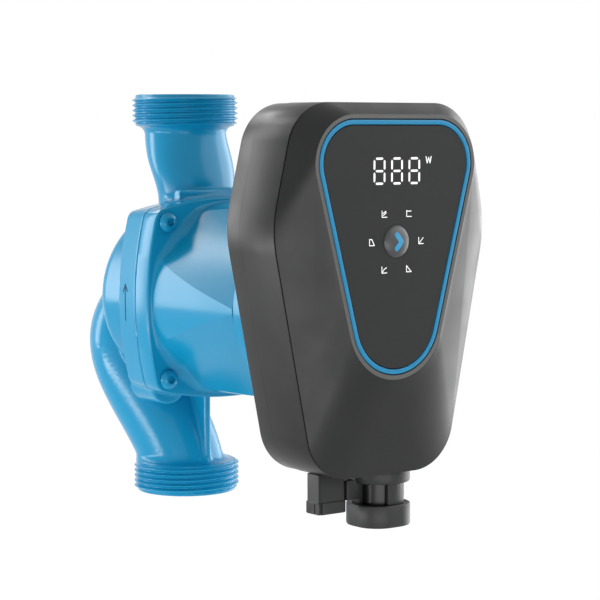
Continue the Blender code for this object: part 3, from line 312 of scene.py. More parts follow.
def outward(item, sharp=None):
    """Turn every face of a closed mesh outwards, and smooth it again where an angle is given."""
    shape = bmesh.new()
    shape.from_mesh(item.data)
    bmesh.ops.remove_doubles(shape, verts=shape.verts, dist=1e-7)
    bmesh.ops.recalc_face_normals(shape, faces=shape.faces)
    shape.to_mesh(item.data)
    shape.free()
    if sharp is not None:
        item.data.shade_smooth()
        item.data.set_sharp_from_angle(angle=math.radians(sharp))
    return item


def solid(name, rings, material, sharp=30.0, closed=False):
    """Closed mesh object through rings, with its faces outwards."""
    return outward(make_object(name, *skin(rings, closed), material, sharp))


def ring_piece(name, rings, material, slot, *nodes, sharp=25.0):
    """Finished piece through a closed run of rings."""
    item = make_object(name, *skin(rings, closed=True), material, None)
    return settle(outward(item, sharp), slot, *nodes)


def bake(item, name, material, sharp=30.0, tools=()):
    """Plain mesh object from an object's modifiers. The object and its tools are used up."""
    graph = bpy.context.evaluated_depsgraph_get()
    graph.update()
    mesh = bpy.data.meshes.new_from_object(item.evaluated_get(graph))
    for spare in (item, *tools):
        bpy.data.objects.remove(spare, do_unlink=True)
    mesh.name = name
    return link_mesh(name, mesh, material, sharp)


def at_depth(outline, depth):
    """Outline in x and z placed at a depth towards the display."""
    outline = np.asarray(outline, float)
    return np.column_stack((outline[:, 0], np.full(len(outline), -depth), outline[:, 1]))


def at_height(outline, height):
    """Outline in x and y placed at a height."""
    outline = np.asarray(outline, float)
    return np.column_stack((outline[:, 0], outline[:, 1], np.full(len(outline), height)))


def round_outline(radius, count=64, centre=(0.0, 0.0)):
    angle = math.tau * np.arange(count) / count
    return np.column_stack((centre[0] + radius * np.cos(angle), centre[1] + radius * np.sin(angle)))


def belt(circles, grow=0.0, count=240):
    """Outline of a belt round circles and their mirror images, sampled by the way it faces."""
    both = list(circles) + [(-x, z, radius) for x, z, radius in circles]
    angle = math.tau * (np.arange(count) + 0.5) / count
    facing = np.column_stack((np.cos(angle), np.sin(angle)))
    reach = np.array([facing @ np.array((x, z)) + radius for x, z, radius in both])
    chosen = np.array(both)[np.argmax(reach, axis=0)]
    return chosen[:, :2] + facing * (chosen[:, 2:] + grow)


# Castings as distance fields

def union(a, b, blend):
    """Join two distance fields with a cast fillet."""
    share = np.clip(0.5 + 0.5 * (b - a) / blend, 0, 1)
    return b + (a - b) * share - blend * share * (1 - share)


def cut_away(a, b, blend):
    """Cut b out of a, with a small round on the edge."""
    return -union(-a, b, blend)


def rounded_corner(a, b, edge):
    """Join of two walls that meet square, with a rounded outside edge."""
    a = a + edge
    b = b + edge
    return np.minimum(np.maximum(a, b), 0) + np.hypot(np.maximum(a, 0), np.maximum(b, 0)) - edge


def along(points, path, radii):
    """Distance to a pipe along a path."""
    nearest = np.full(len(points), 1e6, np.float32)
    for start, end, first, last in zip(path, path[1:], radii, radii[1:]):
        way = end - start
        t = np.clip((points - start) @ way / (way @ way), 0, 1)
        gap = np.linalg.norm(points - start - t[:, None] * way, axis=1)
        nearest = np.minimum(nearest, gap - (first + (last - first) * t))
    return nearest


def bezier(start, lead, trail, end, steps):
    """Points along a curve that leaves and arrives towards its two guide points."""
    t = np.linspace(0, 1, steps + 1)[:, None]
    s = 1 - t
    return s ** 3 * start + 3 * s * s * t * lead + 3 * s * t * t * trail + t ** 3 * end


def flange_distance(u, v):
    """Distance to the flange outline: a square with bulging sides and arcs about the screws."""
    u, v = np.abs(u), np.where(v < 0, -v * LOWER_SQUASH, v)
    centre = FLANGE_HALF - FLANGE_SIDE
    radius = FLANGE_SIDE - FLANGE_CORNER
    to_right = np.hypot(u - centre, v)
    to_top = np.hypot(u, v - centre)
    past_right = v * radius > SCREW_AT * to_right
    past_top = u * radius > SCREW_AT * to_top
    right = to_right - radius
    top = to_top - radius
    corner = np.hypot(u - SCREW_AT, v - SCREW_AT)
    beside = np.where(past_top, right, np.maximum(right, top))
    nearest = np.where(past_right, np.where(past_top, corner, top), beside)
    return nearest - FLANGE_CORNER


def left_over(height, bend):
    """Share of the outlet neck's lean or swell that is left at a height: 1 below the bend, 0 above it."""
    t = np.clip((height - bend[0]) / (bend[1] - bend[0]), 0, 1)
    return 1 - t * t * (3 - 2 * t)


inlet = np.array((0.0, 0.0, -PORT_HALF))
duct_path = bezier(inlet, inlet + np.array((0, 0, SUCTION_RISE)), ELBOW + SUCTION_SWEEP, ELBOW,
                   DUCT_STEPS)
duct_radii = NECK_RADIUS + DUCT_SWELL * np.linspace(0, 1, len(duct_path))
eye_path = np.array((ELBOW, (0.0, -CHAMBER_BACK, 0.0)))


def port_collar(about_pipe, z, middle):
    """Distance to the threaded collar at a port, up to the root of the thread."""
    return rounded_corner(about_pipe - THREAD_ROOT, np.abs(z - middle) - THREAD_LENGTH / 2, COLLAR_EDGE)


def casting_distance(points):
    """Distance to the pump casting, negative in the metal."""
    x, l, z = points[:, 0], -points[:, 1], points[:, 2]
    about_motor = np.hypot(x, z)
    about_pipe = np.hypot(x, l)
    volute = rounded_corner(about_motor - VOLUTE_RADIUS, VOLUTE_BACK - l, VOLUTE_EDGE)
    volute = np.maximum(volute, l - PARTING - CUT_SPARE)
    flange = rounded_corner(flange_distance(x, z) + FLANGE_DRAFT * (PARTING - l), FLANGE_BACK - l, CAST_EDGE)
    body = union(volute, flange, FLANGE_BLEND)
    lean = left_over(z, NECK_BEND)
    wider = 1 + (left_over(z, SWELL_BEND) * NECK_SWELL - left_over(z, WAIST_BEND) * NECK_WAIST) / NECK_RADIUS
    slimmer = 1 - lean * NECK_SQUASH / NECK_RADIUS
    # Scaled down, because the lean and the squeeze overstate the distance.
    neck = (np.hypot(x / wider, (l - NECK_FORWARD * lean) / slimmer) - NECK_RADIUS) * 0.8
    neck = np.maximum(np.maximum(neck, NECK_ENDS[0] - z), z - NECK_ENDS[1])
    outlet = union(neck, port_collar(about_pipe, z, PORT_HALF - THREAD_LENGTH / 2), COLLAR_BLEND)
    body = union(body, outlet, PORT_BLEND)
    land = rounded_corner(np.abs(x) - LAND_HALF, z - LAND_ENDS[1], LAND_EDGE)
    land = rounded_corner(land, np.abs(l - LAND_DEPTH) - LAND_THICK_HALF, CAST_EDGE)
    land = np.maximum(land, LAND_ENDS[0] - z)
    body = union(body, land, LAND_BLEND)
    duct = along(points, duct_path, duct_radii)
    elbow = np.linalg.norm(points - ELBOW, axis=1) - (duct_radii[-1] + ELBOW_SWELL)
    eye = along(points, eye_path, (duct_radii[-1], NECK_RADIUS))
    duct = union(union(duct, elbow, ELBOW_BLEND), eye, ELBOW_BLEND)
    foot = port_collar(about_pipe, z, THREAD_LENGTH / 2 - PORT_HALF)
    duct = union(np.maximum(duct, -PORT_HALF + DUCT_SHORT - z), foot, PORT_BLEND)
    body = union(body, duct, DUCT_BLEND)
    rib = rounded_corner(np.abs(x) - RIB_HALF, l - RIB_DEPTHS[1], RIB_EDGE)
    rib = np.maximum(np.maximum(rib, RIB_DEPTHS[0] - l), np.maximum(z - RIB_ENDS[1], RIB_ENDS[0] - z))
    body = union(body, rib, RIB_BLEND)
    boss = np.hypot(x + BOSS_AT[0], z + BOSS_AT[1]) - BOSS_RADIUS
    boss = rounded_corner(boss, np.abs(l - BOSS_DEPTH) - BOSS_LONG_HALF, CAST_EDGE)
    body = union(body, boss, RIB_BLEND)
    body = cut_away(body, PARTING - l, PARTING_EDGE)
    bore = np.hypot(x, l - NECK_FORWARD * lean) - PORT_BORE
    bore = np.maximum(bore, OUTLET_BORE_FOOT - z)
    chamber = np.maximum(about_motor - CHAMBER_RADIUS, CHAMBER_BACK - l)
    seat = np.maximum(about_motor - SEAT_RADIUS, SEAT_FLOOR - l)
    throat = np.maximum(about_motor - EYE_RADIUS, -l)
    # Every fourth point of the path is fine enough for the passage.
    middle = np.concatenate(((inlet - (0, 0, CUT_SPARE),), duct_path[::4], eye_path[1:]))
    passage = along(points, middle, [PORT_BORE] * len(middle))
    hollow = np.minimum(np.minimum(np.minimum(bore, chamber), seat), np.minimum(throat, passage))
    return cut_away(body, hollow, BORE_EDGE)


def steepest(field, points, reach=0.05):
    """Slope of a distance field at points."""
    slope = np.empty_like(points)
    for axis in range(3):
        step = np.zeros(3)
        step[axis] = reach
        slope[:, axis] = (field(points + step) - field(points - step)) / (2 * reach)
    return slope


def skin_field(field, low, high, step):
    """Skin the zero level of a field: a point in each crossed cell, a face round each crossed grid edge."""
    axes = [np.arange(a, b + step, step) for a, b in zip(low, high)]
    shape = tuple(len(axis) for axis in axes)
    grid = np.stack(np.meshgrid(*axes, indexing="ij"), axis=-1).reshape(-1, 3)
    values = np.concatenate([field(part) for part in np.array_split(grid, 12)]).reshape(shape)
    inside = values < 0
    cells = tuple(count - 1 for count in shape)
    total = np.zeros(cells + (3,))
    hits = np.zeros(cells)
    crossings = []
    index = np.indices(cells)
    for axis in range(3):
        first = [slice(None)] * 3
        second = [slice(None)] * 3
        first[axis] = slice(0, -1)
        second[axis] = slice(1, None)
        a, b = values[tuple(first)], values[tuple(second)]
        crossed = inside[tuple(first)] != inside[tuple(second)]
        share = np.where(crossed, a / np.where(crossed, a - b, 1), 0)
        crossings.append(crossed)
        others = [other for other in range(3) if other != axis]
        for shift_u in (0, 1):
            for shift_v in (0, 1):
                window = [slice(None)] * 3
                window[others[0]] = slice(shift_u, shift_u + cells[others[0]])
                window[others[1]] = slice(shift_v, shift_v + cells[others[1]])
                here = crossed[tuple(window)]
                hits += here
                total[..., axis] += np.where(here, index[axis] + share[tuple(window)], 0)
                total[..., others[0]] += np.where(here, index[others[0]] + shift_u, 0)
                total[..., others[1]] += np.where(here, index[others[1]] + shift_v, 0)
    used = hits > 0
    number = np.full(cells, -1)
    number[used] = np.arange(used.sum())
    points = total[used] / hits[used][:, None] * step + np.array([axis[0] for axis in axes])
    faces = []
    for axis in range(3):
        u, v = [(axis + 1) % 3, (axis + 2) % 3]
        places = np.argwhere(crossings[axis])
        keep = (places[:, u] > 0) & (places[:, u] < cells[u]) & (places[:, v] > 0) & (places[:, v] < cells[v])
        places = places[keep]
        corners = []
        for du, dv in ((1, 1), (0, 1), (0, 0), (1, 0)):
            spot = places.copy()
            spot[:, u] -= du
            spot[:, v] -= dv
            corners.append(number[tuple(spot.T)])
        quads = np.column_stack(corners)
        leaving = inside[tuple(places.T)]
        faces.append(np.where(leaving[:, None], quads, quads[:, ::-1]))
    for _ in range(3):
        slope = steepest(field, points)
        points = points - slope * (field(points) / np.maximum((slope ** 2).sum(1), 0.05))[:, None]
    slope = steepest(field, points)
    return points, np.concatenate(faces), slope / np.linalg.norm(slope, axis=1)[:, None]


def build_casting():
    """Pump casting with its passages, skinned in a box with room to spare."""
    low, high = (-46.9, -27.2, -91.2), (46.9, 51.6, 91.2)
    points, faces, facing = skin_field(casting_distance, low, high, CAST_STEP)
    item = make_object("pump_casting", points, faces, blue_enamel, None)
    item.data.normals_split_custom_set_from_vertices(facing.tolist())
    return settle(item, "blue_paint", "pump_housing")


# Geometry Nodes

def new_group(name, sizes):
    """Geometry tree with named number inputs: the tree, its input node and socket names by size."""
    tree = bpy.data.node_groups.new(name, "GeometryNodeTree")
    tree.interface.new_socket("Geometry", in_out="INPUT", socket_type="NodeSocketGeometry")
    tree.interface.new_socket("Geometry", in_out="OUTPUT", socket_type="NodeSocketGeometry")
    sockets = {}
    for size in sizes:
        socket = tree.interface.new_socket(size, in_out="INPUT", socket_type="NodeSocketFloat")
        sockets[size] = socket.identifier
    return tree, add(tree, "NodeGroupInput"), sockets


def run_group(tree, sockets, sizes, name, material, start=None, sharp=30.0):
    """Run a geometry tree on a start mesh and keep the result as a plain mesh object."""
    carrier = bpy.data.objects.new(name + "_carrier", start or bpy.data.meshes.new(name + "_start"))
    bpy.context.scene.collection.objects.link(carrier)
    nodes = carrier.modifiers.new("Nodes", "NODES")
    nodes.node_group = tree
    for size, value in sizes.items():
        nodes[sockets[size]] = value
    return bake(carrier, name, material, sharp)


def close_group(tree, geometry, material):
    """End a tree with real meshes in one material."""
    real = add(tree, "GeometryNodeRealizeInstances", {"Geometry": geometry})
    painted = add(tree, "GeometryNodeSetMaterial", {"Geometry": real, "Material": material})
    add(tree, "NodeGroupOutput", {"Geometry": painted})


def thread_tree(material):
    """Sleeve with a pipe thread: ridges that climb one pitch a turn and run out at both ends."""
    tree, given, sockets = new_group("pipe_thread", ("Root", "Crest", "Pitch", "Low", "High"))
    size = given.outputs
    grid = add(tree, "GeometryNodeMeshGrid", {"Size X": 1.0, "Size Y": 1.0,
                                              "Vertices X": 181, "Vertices Y": 110})
    spot = add(tree, "ShaderNodeSeparateXYZ", {0: add(tree, "GeometryNodeInputPosition")}).outputs
    angle = add(tree, MATHS, {0: spot[0], 1: math.tau}, operation="MULTIPLY")
    rise = add(tree, MATHS, {0: spot[1], 1: 0.5}, operation="ADD")
    span = add(tree, MATHS, {0: size["High"], 1: size["Low"]}, operation="SUBTRACT")
    height = add(tree, MATHS, {0: rise, 1: span, 2: size["Low"]}, operation="MULTIPLY_ADD")
    pitches = add(tree, MATHS, {0: height, 1: size["Pitch"]}, operation="DIVIDE")
    turns = add(tree, MATHS, {0: pitches, 1: spot[0]}, operation="SUBTRACT")
    wave = add(tree, MATHS, {0: turns, 1: 0.5}, operation="PINGPONG")
    ridge = add(tree, "ShaderNodeMapRange", {"Value": wave, "From Min": 0.06, "From Max": 0.45,
                                             "To Min": 0.0, "To Max": 1.0})
    above = add(tree, MATHS, {0: height, 1: size["Low"]}, operation="SUBTRACT")
    below = add(tree, MATHS, {0: size["High"], 1: height}, operation="SUBTRACT")
    to_end = add(tree, MATHS, {0: above, 1: below}, operation="MINIMUM")
    end_pitches = add(tree, MATHS, {0: to_end, 1: size["Pitch"]}, operation="DIVIDE")
    fade = add(tree, "ShaderNodeMapRange", {"Value": end_pitches, "From Min": 0.0, "From Max": 0.45,
                                            "To Min": -0.15, "To Max": 1.0})
    share = add(tree, MATHS, {0: ridge, 1: fade}, operation="MINIMUM")
    depth = add(tree, MATHS, {0: size["Crest"], 1: size["Root"]}, operation="SUBTRACT")
    lift = add(tree, MATHS, {0: share, 1: depth}, operation="MULTIPLY")
    radius = add(tree, MATHS, {0: size["Root"], 1: lift}, operation="ADD")
    ways = [add(tree, MATHS, {0: angle}, operation=way) for way in ("COSINE", "SINE")]
    x, y = [add(tree, MATHS, {0: radius, 1: way}, operation="MULTIPLY") for way in ways]
    place = add(tree, "ShaderNodeCombineXYZ", {0: x, 1: y, 2: height})
    moved = add(tree, "GeometryNodeSetPosition", {"Geometry": grid.outputs["Mesh"], "Position": place})
    joined = add(tree, "GeometryNodeMergeByDistance", {"Geometry": moved, "Distance": 1e-6})
    close_group(tree, joined, material)
    return tree, sockets


def build_threads():
    tree, sockets = thread_tree(blue_enamel)
    ends = {"outlet_thread": (PORT_HALF - THREAD_LENGTH + 0.2, PORT_HALF - 0.9),
            "inlet_thread": (-PORT_HALF + 0.9, -PORT_HALF + THREAD_LENGTH - 0.2)}
    for name, (low, high) in ends.items():
        sizes = {"Root": (THREAD_ROOT + 0.05) * MM, "Crest": THREAD_OUTER * MM, "Pitch": THREAD_PITCH * MM,
                 "Low": low * MM, "High": high * MM}
        settle(run_group(tree, sockets, sizes, name, blue_enamel, sharp=60.0), "blue_paint")


def scatter_tree(name, shape, material):
    """Copies of a small shape on the points of a mesh, each turned about the motor axis by its own angle."""
    tree, given, sockets = new_group(name, ("Scale",))
    source = add(tree, "GeometryNodeObjectInfo", {"Object": shape})
    turn = add(tree, "GeometryNodeInputNamedAttribute", {"Name": "turn"}, data_type="FLOAT")
    rotation = add(tree, "ShaderNodeCombineXYZ", {1: turn})
    copies = add(tree, "GeometryNodeInstanceOnPoints", {"Points": given.outputs["Geometry"],
                                                        "Instance": source.outputs["Geometry"],
                                                        "Rotation": rotation,
                                                        "Scale": given.outputs["Scale"]})
    close_group(tree, copies, material)
    return tree, sockets


def scatter(name, shape, places, turns, material, sharp=30.0):
    """Run a scatter tree: places in millimetres, turns in radians."""
    start = bpy.data.meshes.new(name + "_places")
    start.from_pydata((np.asarray(places, float) * MM).tolist(), [], [])
    start.attributes.new("turn", "FLOAT", "POINT").data.foreach_set("value", list(turns))
    tree, sockets = scatter_tree(name, shape, material)
    item = run_group(tree, sockets, {"Scale": 1.0}, name, material, start, sharp)
    bpy.data.objects.remove(shape, do_unlink=True)
    return item


def hexagon(radius, count=48):
    """Hexagon of a given reach to its flats, with as many points as a circle."""
    angle = math.tau * np.arange(count) / count
    reach = radius / np.cos((angle + math.pi / 6) % (math.pi / 3) - math.pi / 6)
    return np.column_stack((reach * np.cos(angle), reach * np.sin(angle)))


def build_flow_arrow():
    """Arrow in the left side of the pump flange that shows which way the water flows."""
    def reach(depth, height):
        bulge = FLANGE_HALF - FLANGE_SIDE + np.sqrt(FLANGE_SIDE ** 2 - height ** 2)
        return bulge - FLANGE_DRAFT * (PARTING - depth) + 0.04

    shaft, tip = 17.2, 6.9
    lines = (((shaft, -8.6), (shaft, 6.6)), ((15.4, 3.8), (shaft, tip)), ((shaft, tip), (19.2, 4.2)))
    strokes = [stroke(ends, 0.85, 8) for ends in lines]
    # The strokes lie just proud of the flange side, in a darker blue that paints the shade of an engraved
    # groove.
    item = lay_strokes("flow_arrow", strokes, (0.0, 0.0), reach, groove_shade_enamel)
    for point in item.data.vertices:
        point.co = (point.co.y, -point.co.x, point.co.z)
    settle(item, "blue_paint")


def build_motor_screws():
    """Button-head socket screws at the flange corners."""
    shank = ((2.4, -10.0), (2.4, 0.0))
    head = ((4.1, 0.0), (4.3, 0.25), (4.3, 0.7), (4.05, 1.35), (3.6, 1.95), (2.95, 2.45), (2.2, 2.72))
    rings = [at_depth(round_outline(radius, 48), depth) for radius, depth in shank + head]
    rings += [at_depth(hexagon(1.62), 2.74), at_depth(hexagon(1.5), 2.55), at_depth(hexagon(1.5), 1.0)]
    shape = solid("screw_shape", rings, blue_enamel, 40.0)
    low = -SCREW_AT / LOWER_SQUASH
    corners = ((SCREW_AT, SCREW_AT), (-SCREW_AT, SCREW_AT), (-SCREW_AT, low), (SCREW_AT, low))
    places = [(x, -MOTOR_FACE - 0.3, z) for x, z in corners]
    item = scatter("motor_screws", shape, places, (0.2, 0.9, 0.4, 0.0), blue_enamel, 40.0)
    settle(item, "blue_paint", "motor_screw_1", "motor_screw_2", "motor_screw_3", "motor_screw_4")


def build_cover_screws():
    """Pan-head screws in the back of the control box, with a hexagon socket."""
    shank = ((1.55, -8.0), (1.55, 0.05))
    head = ((COVER_HEAD, 0.05), (COVER_HEAD, 0.7), (COVER_HEAD - 0.2, 1.15), (COVER_HEAD - 0.65, 1.45))
    rings = [at_depth(round_outline(radius, 48), -out) for radius, out in shank + head]
    rings += [at_depth(hexagon(1.2), -1.5), at_depth(hexagon(1.1), -1.4), at_depth(hexagon(1.1), -0.6)]
    shape = solid("cover_screw_shape", rings, bright_steel, 40.0)
    boxes = [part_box(f"cover_screw_{number}") for number in (1, 2, 3, 4)]
    places = [((low[0] + high[0]) / 2 / MM, -BOX_BACK, (low[2] + high[2]) / 2 / MM) for low, high in boxes]
    item = scatter("cover_screws", shape, places, (0.1, 0.7, 0.3, 0.9), bright_steel, 40.0)
    settle(item, "steel", "cover_screw_1", "cover_screw_2", "cover_screw_3", "cover_screw_4")


# Motor shell

def flange_reach(angle):
    """Reach of the flange outline in each direction, by halving."""
    low = np.full(len(angle), 30.0)
    high = np.full(len(angle), 60.0)
    for _ in range(40):
        middle = (low + high) / 2
        height = middle * np.sin(angle)
        inside = flange_distance(middle * np.cos(angle), np.abs(height)) < 0
        low = np.where(inside, middle, low)
        high = np.where(inside, high, middle)
    return low


def drum_ring(depth, flat_steps=26, round_steps=22):
    """Angles and radii round the drum, with points exactly where the flats begin and end."""
    t = (depth - MOTOR_FACE) / (DRUM_FRONT - MOTOR_FACE)
    radius = DRUM_RADII[0] + (DRUM_RADII[1] - DRUM_RADII[0]) * t
    flat = FLAT_AT_FACE - FLAT_SLOPE * (depth - MOTOR_FACE)
    half = math.acos(flat / radius)
    crown = FLAT_CROWN * half * half
    angles = []
    radii = []
    for quarter in range(4):
        centre = math.pi / 4 + math.pi / 2 * quarter
        across = np.linspace(-half, half, flat_steps + 1)
        angles.append(centre + across)
        radii.append(flat / np.cos(across) + crown * (1 - (across / half) ** 2))
        rest = np.linspace(half, math.pi / 2 - half, round_steps + 1)[1:-1]
        angles.append(centre + rest)
        radii.append(np.full(len(rest), radius))
    return np.concatenate(angles), np.concatenate(radii)


def ring_at(angle, radius, depth):
    """Ring round the motor axis at a depth, a little shallower below the axis."""
    height = radius * np.sin(angle)
    height = np.where(height < 0, height / LOWER_SQUASH, height)
    return np.column_stack((radius * np.cos(angle), np.broadcast_to(-depth, angle.shape), height))


def build_motor_shell():
    """Flange, drum with four slanting flats and neck, as one shell round the motor."""
    face_angle, face_radius = drum_ring(MOTOR_FACE)
    reach = flange_reach(face_angle)
    flat_share = 0.5 - 0.5 * np.cos(4 * face_angle)
    # The fillet at the foot of the drum is widest in the middle of each flat.
    fillet = 0.7 + 4.6 * flat_share ** 1.5
    rings = []
    wiring_room, cable_hole, can_seat, stator_bore = 35.4, 9.0, 23.6, 30.9
    inside = ((wiring_room, NECK_FRONT), (wiring_room, 95.5), (cable_hole, 95.5), (cable_hole, 86.6),
              (can_seat, 86.6), (can_seat, 74.5), (stator_bore, 74.5), (stator_bore, MOTOR_BACK))
    for radius, depth in inside:
        rings.append(ring_at(face_angle, np.full(len(face_angle), radius), depth))
    for inset, depth in ((0.3, 0.12), (0.06, 0.22), (0.0, 0.45)):
        rings.append(ring_at(face_angle, reach - inset, MOTOR_BACK + depth))
    for turn in np.linspace(0, math.pi / 2, 5):
        inset = CAST_EDGE * (1 - math.cos(turn))
        rings.append(ring_at(face_angle, reach - inset, MOTOR_FACE - CAST_EDGE * (1 - math.sin(turn))))
    slope = -FLAT_SLOPE * flat_share
    for t in (0.0, 0.02, 0.06, 0.13, 0.24, 0.38, 0.55, 0.75, 1.0):
        up = fillet * t
        blend = fillet * (1 - np.sqrt(np.maximum(1 - (1 - t) ** 2, 0)))
        outer = np.minimum(face_radius + slope * up + blend, reach - CAST_EDGE * 0.9)
        rings.append(ring_at(face_angle, outer, MOTOR_FACE + up))
    for depth in np.linspace(MOTOR_FACE + 6.2, DRUM_FRONT, 22):
        angle, radius = drum_ring(depth)
        rings.append(ring_at(angle, radius, depth))
    for inset, depth in ((0.15, DRUM_FRONT + 0.1), (0.0, DRUM_FRONT + 0.5),
                         (0.0, NECK_FRONT - 0.5), (0.15, NECK_FRONT - 0.1), (0.6, NECK_FRONT)):
        rings.append(ring_at(face_angle, np.full(len(face_angle), NECK_RING - inset), depth))
    ring_piece("motor_shell", rings, blue_enamel, "blue_paint", "motor_housing", sharp=14.0)


# Control box

def belt_rings(circles, profile):
    """Rings of an outline: profile holds (inset, depth) pairs."""
    return [at_depth(belt(circles, -inset), depth) for inset, depth in profile]


def build_box():
    """Back shell, middle frame and sloping front cover, with a window opening and a paler bezel."""
    wall_inset = BASE_INSET + 4.2
    floor_depth = BOX_BACK + 2.5
    base = ((BASE_INSET + 1.4, BOX_BACK), (BASE_INSET + 0.6, BOX_BACK + 0.16),
            (BASE_INSET + 0.16, BOX_BACK + 0.6), (BASE_INSET, BOX_BACK + 1.4), (BASE_INSET, BASE_FRONT - 0.1),
            (BASE_INSET + 0.1, BASE_FRONT), (wall_inset, BASE_FRONT))
    rings = belt_rings(BOX_CIRCLES, base)
    floor_front = at_depth(belt(BOX_CIRCLES, -wall_inset) * 0.999, floor_depth)
    cable_hole = round_outline(9.0, 240)
    rings += [floor_front, at_depth(cable_hole, floor_depth), at_depth(cable_hole, BOX_BACK)]
    ring_piece("box_back_shell", rings, moulded_abs, "dark_plastic", "control_base")
    frame_profile = ((3.0, FRAME_BACK - 0.15), (0.12, FRAME_BACK - 0.15), (0.0, FRAME_BACK - 0.03),
                     (0.0, FRAME_FRONT - 0.6), (0.12, FRAME_FRONT - 0.3), (0.45, FRAME_FRONT - 0.15),
                     (3.0, FRAME_FRONT - 0.15))
    ring_piece("box_frame", belt_rings(BOX_CIRCLES, frame_profile), moulded_abs, "dark_plastic",
               "control_frame")
    outer = belt(BOX_CIRCLES)
    inner = belt(PANEL_CIRCLES, BEZEL)
    lip_back = COVER_BACK - 3.5
    lip = ((5.3, lip_back), (3.3, lip_back), (3.3, COVER_BACK + 0.1), (0.5, COVER_BACK + 0.1),
           (0.12, COVER_BACK + 0.22), (0.02, COVER_BACK + 0.45))
    rings = belt_rings(BOX_CIRCLES, lip)
    rise = COVER_FRONT - COVER_BACK - 0.45
    for t in np.linspace(0.06, 0.97, 14):
        crown = 0.35 * math.sin(math.pi * t)
        rings.append(at_depth(outer + (inner - outer) * t, COVER_BACK + 0.4 + rise * t + crown))
    rings += [at_depth(inner + (outer - inner) * 0.005, COVER_FRONT - 0.02)]
    ledge, inside = COVER_FRONT - 2.5, COVER_FRONT - 5.0
    window = ((-0.5, COVER_FRONT), (-0.3, COVER_FRONT - 0.2), (-0.3, ledge), (3.0, ledge), (3.0, inside),
              (0.3, inside))
    rings += belt_rings(PANEL_CIRCLES, window)
    cover = ring_piece("box_front_cover", rings, moulded_abs, "dark_plastic", "front_cover", sharp=20.0)
    cover.data.materials.append(bezel_abs)
    for face in cover.data.polygons:
        middle = face.center / MM
        if -middle.y > COVER_FRONT - 0.12 and face.normal.y < -0.9:
            face.material_index = 1


def build_panel():
    """Blue trim, dark window with a hole for the button, the button and the marks."""
    trim_back = COVER_FRONT - 2.2
    trim = ((0.0, trim_back), (0.0, COVER_FRONT - 0.25), (0.08, COVER_FRONT - 0.06), (0.3, COVER_FRONT),
            (TRIM - 0.3, COVER_FRONT), (TRIM - 0.08, COVER_FRONT - 0.06), (TRIM, COVER_FRONT - 0.25),
            (TRIM, trim_back))
    ring_piece("window_trim", belt_rings(PANEL_CIRCLES, trim), blue_trim, "trim_blue", "panel_trim")
    panel_front = COVER_FRONT - 0.2
    hole = round_outline(BUTTON_RADIUS + 0.2, 240, (0.0, BUTTON_Z))
    edge = belt(PANEL_CIRCLES, -TRIM - 0.3)
    spin = np.argmin(np.abs(np.arctan2(edge[:, 1] - BUTTON_Z, edge[:, 0])))
    edge = np.roll(edge, -spin, axis=0)
    soft = belt(PANEL_CIRCLES, -TRIM - 0.5)
    soft = np.roll(soft, -spin, axis=0)
    rings = [at_depth(hole, trim_back), at_depth(edge, trim_back), at_depth(edge, panel_front - 0.2),
             at_depth(soft, panel_front), at_depth(hole, panel_front)]
    ring_piece("window_panel", rings, window_film, "panel_gloss", "display_panel")
    build_button(trim_back)
    build_marks(panel_front)


def dome(reach):
    """Depth of the button's domed front at a distance from its centre."""
    t = reach / BUTTON_RADIUS
    rim = np.maximum(t - 0.8, 0) / 0.2
    return COVER_FRONT + 1.5 - 1.3 * t * t - 0.35 * rim ** 2


def build_button(trim_back):
    """Domed button with a collar behind the window and a chevron printed on its front."""
    centre = (0.0, BUTTON_Z)
    collar = ((0.05, trim_back - 1.7), (BUTTON_COLLAR, trim_back - 1.7), (BUTTON_COLLAR, trim_back - 0.3),
              (BUTTON_RADIUS, trim_back - 0.3))
    rings = [at_depth(round_outline(radius, 96, centre), depth) for radius, depth in collar]
    for reach in np.concatenate((np.linspace(BUTTON_RADIUS, 4.4, 10), np.linspace(4.0, 0.05, 12))):
        rings.append(at_depth(round_outline(reach, 96, centre), dome(reach)))
    item = solid("mode_push_button", rings, button_abs, 40.0)
    settle(item, "button_grey", "mode_button", body="button")

    def front(x, z):
        return dome(np.hypot(x, z)) + 0.06

    arms = [stroke(((-0.95, end), (1.1, 0.0)), 2.3) for end in (2.6, -2.6)]
    settle(lay_strokes("button_chevron", arms, centre, front, blue_print), "trim_blue", body="button")


def stroke(ends, width, cells=14):
    """Straight stroke with round ends, as a run of cross lines."""
    start, end = np.array(ends[0], float), np.array(ends[1], float)
    way = (end - start) / np.linalg.norm(end - start)
    side = np.array((-way[1], way[0]))
    half = width / 2
    length = np.linalg.norm(end - start)
    turn = np.linspace(0, math.pi / 2, 7)
    stations = np.concatenate((-half * np.cos(turn)[:-1], np.linspace(0, length, cells),
                               length + half * np.sin(turn)[1:]))
    lines = []
    for station in stations:
        past = max(-station, station - length, 0.0)
        reach = math.sqrt(max(half * half - past * past, 1e-4))
        lines.append([start + way * station + side * offset for offset in np.linspace(-reach, reach, 7)])
    return lines


def lay_strokes(name, strokes, centre, depth_at, material, thickness=0.12):
    """Lay flat strokes on a surface as thin prints with closed edges."""
    points = []
    faces = []
    for lines in strokes:
        base = len(points)
        rows, columns = len(lines), len(lines[0])
        for lift in (0.0, -thickness):
            for line in lines:
                for x, z in line:
                    points.append((centre[0] + x, -(depth_at(x, z) + lift), centre[1] + z))
        count = rows * columns
        for row in range(rows - 1):
            for column in range(columns - 1):
                a = base + row * columns + column
                quad = (a, a + 1, a + columns + 1, a + columns)
                faces.append(quad)
                faces.append(tuple(point + count for point in reversed(quad)))
        border = [base + column for column in range(columns)]
        border += [base + row * columns + columns - 1 for row in range(1, rows)]
        border += [base + (rows - 1) * columns + column for column in range(columns - 2, -1, -1)]
        border += [base + row * columns for row in range(rows - 2, 0, -1)]
        for a, b in zip(border, border[1:] + border[:1]):
            faces.append((b, a, a + count, b + count))
    return outward(make_object(name, points, faces, material, 40.0))


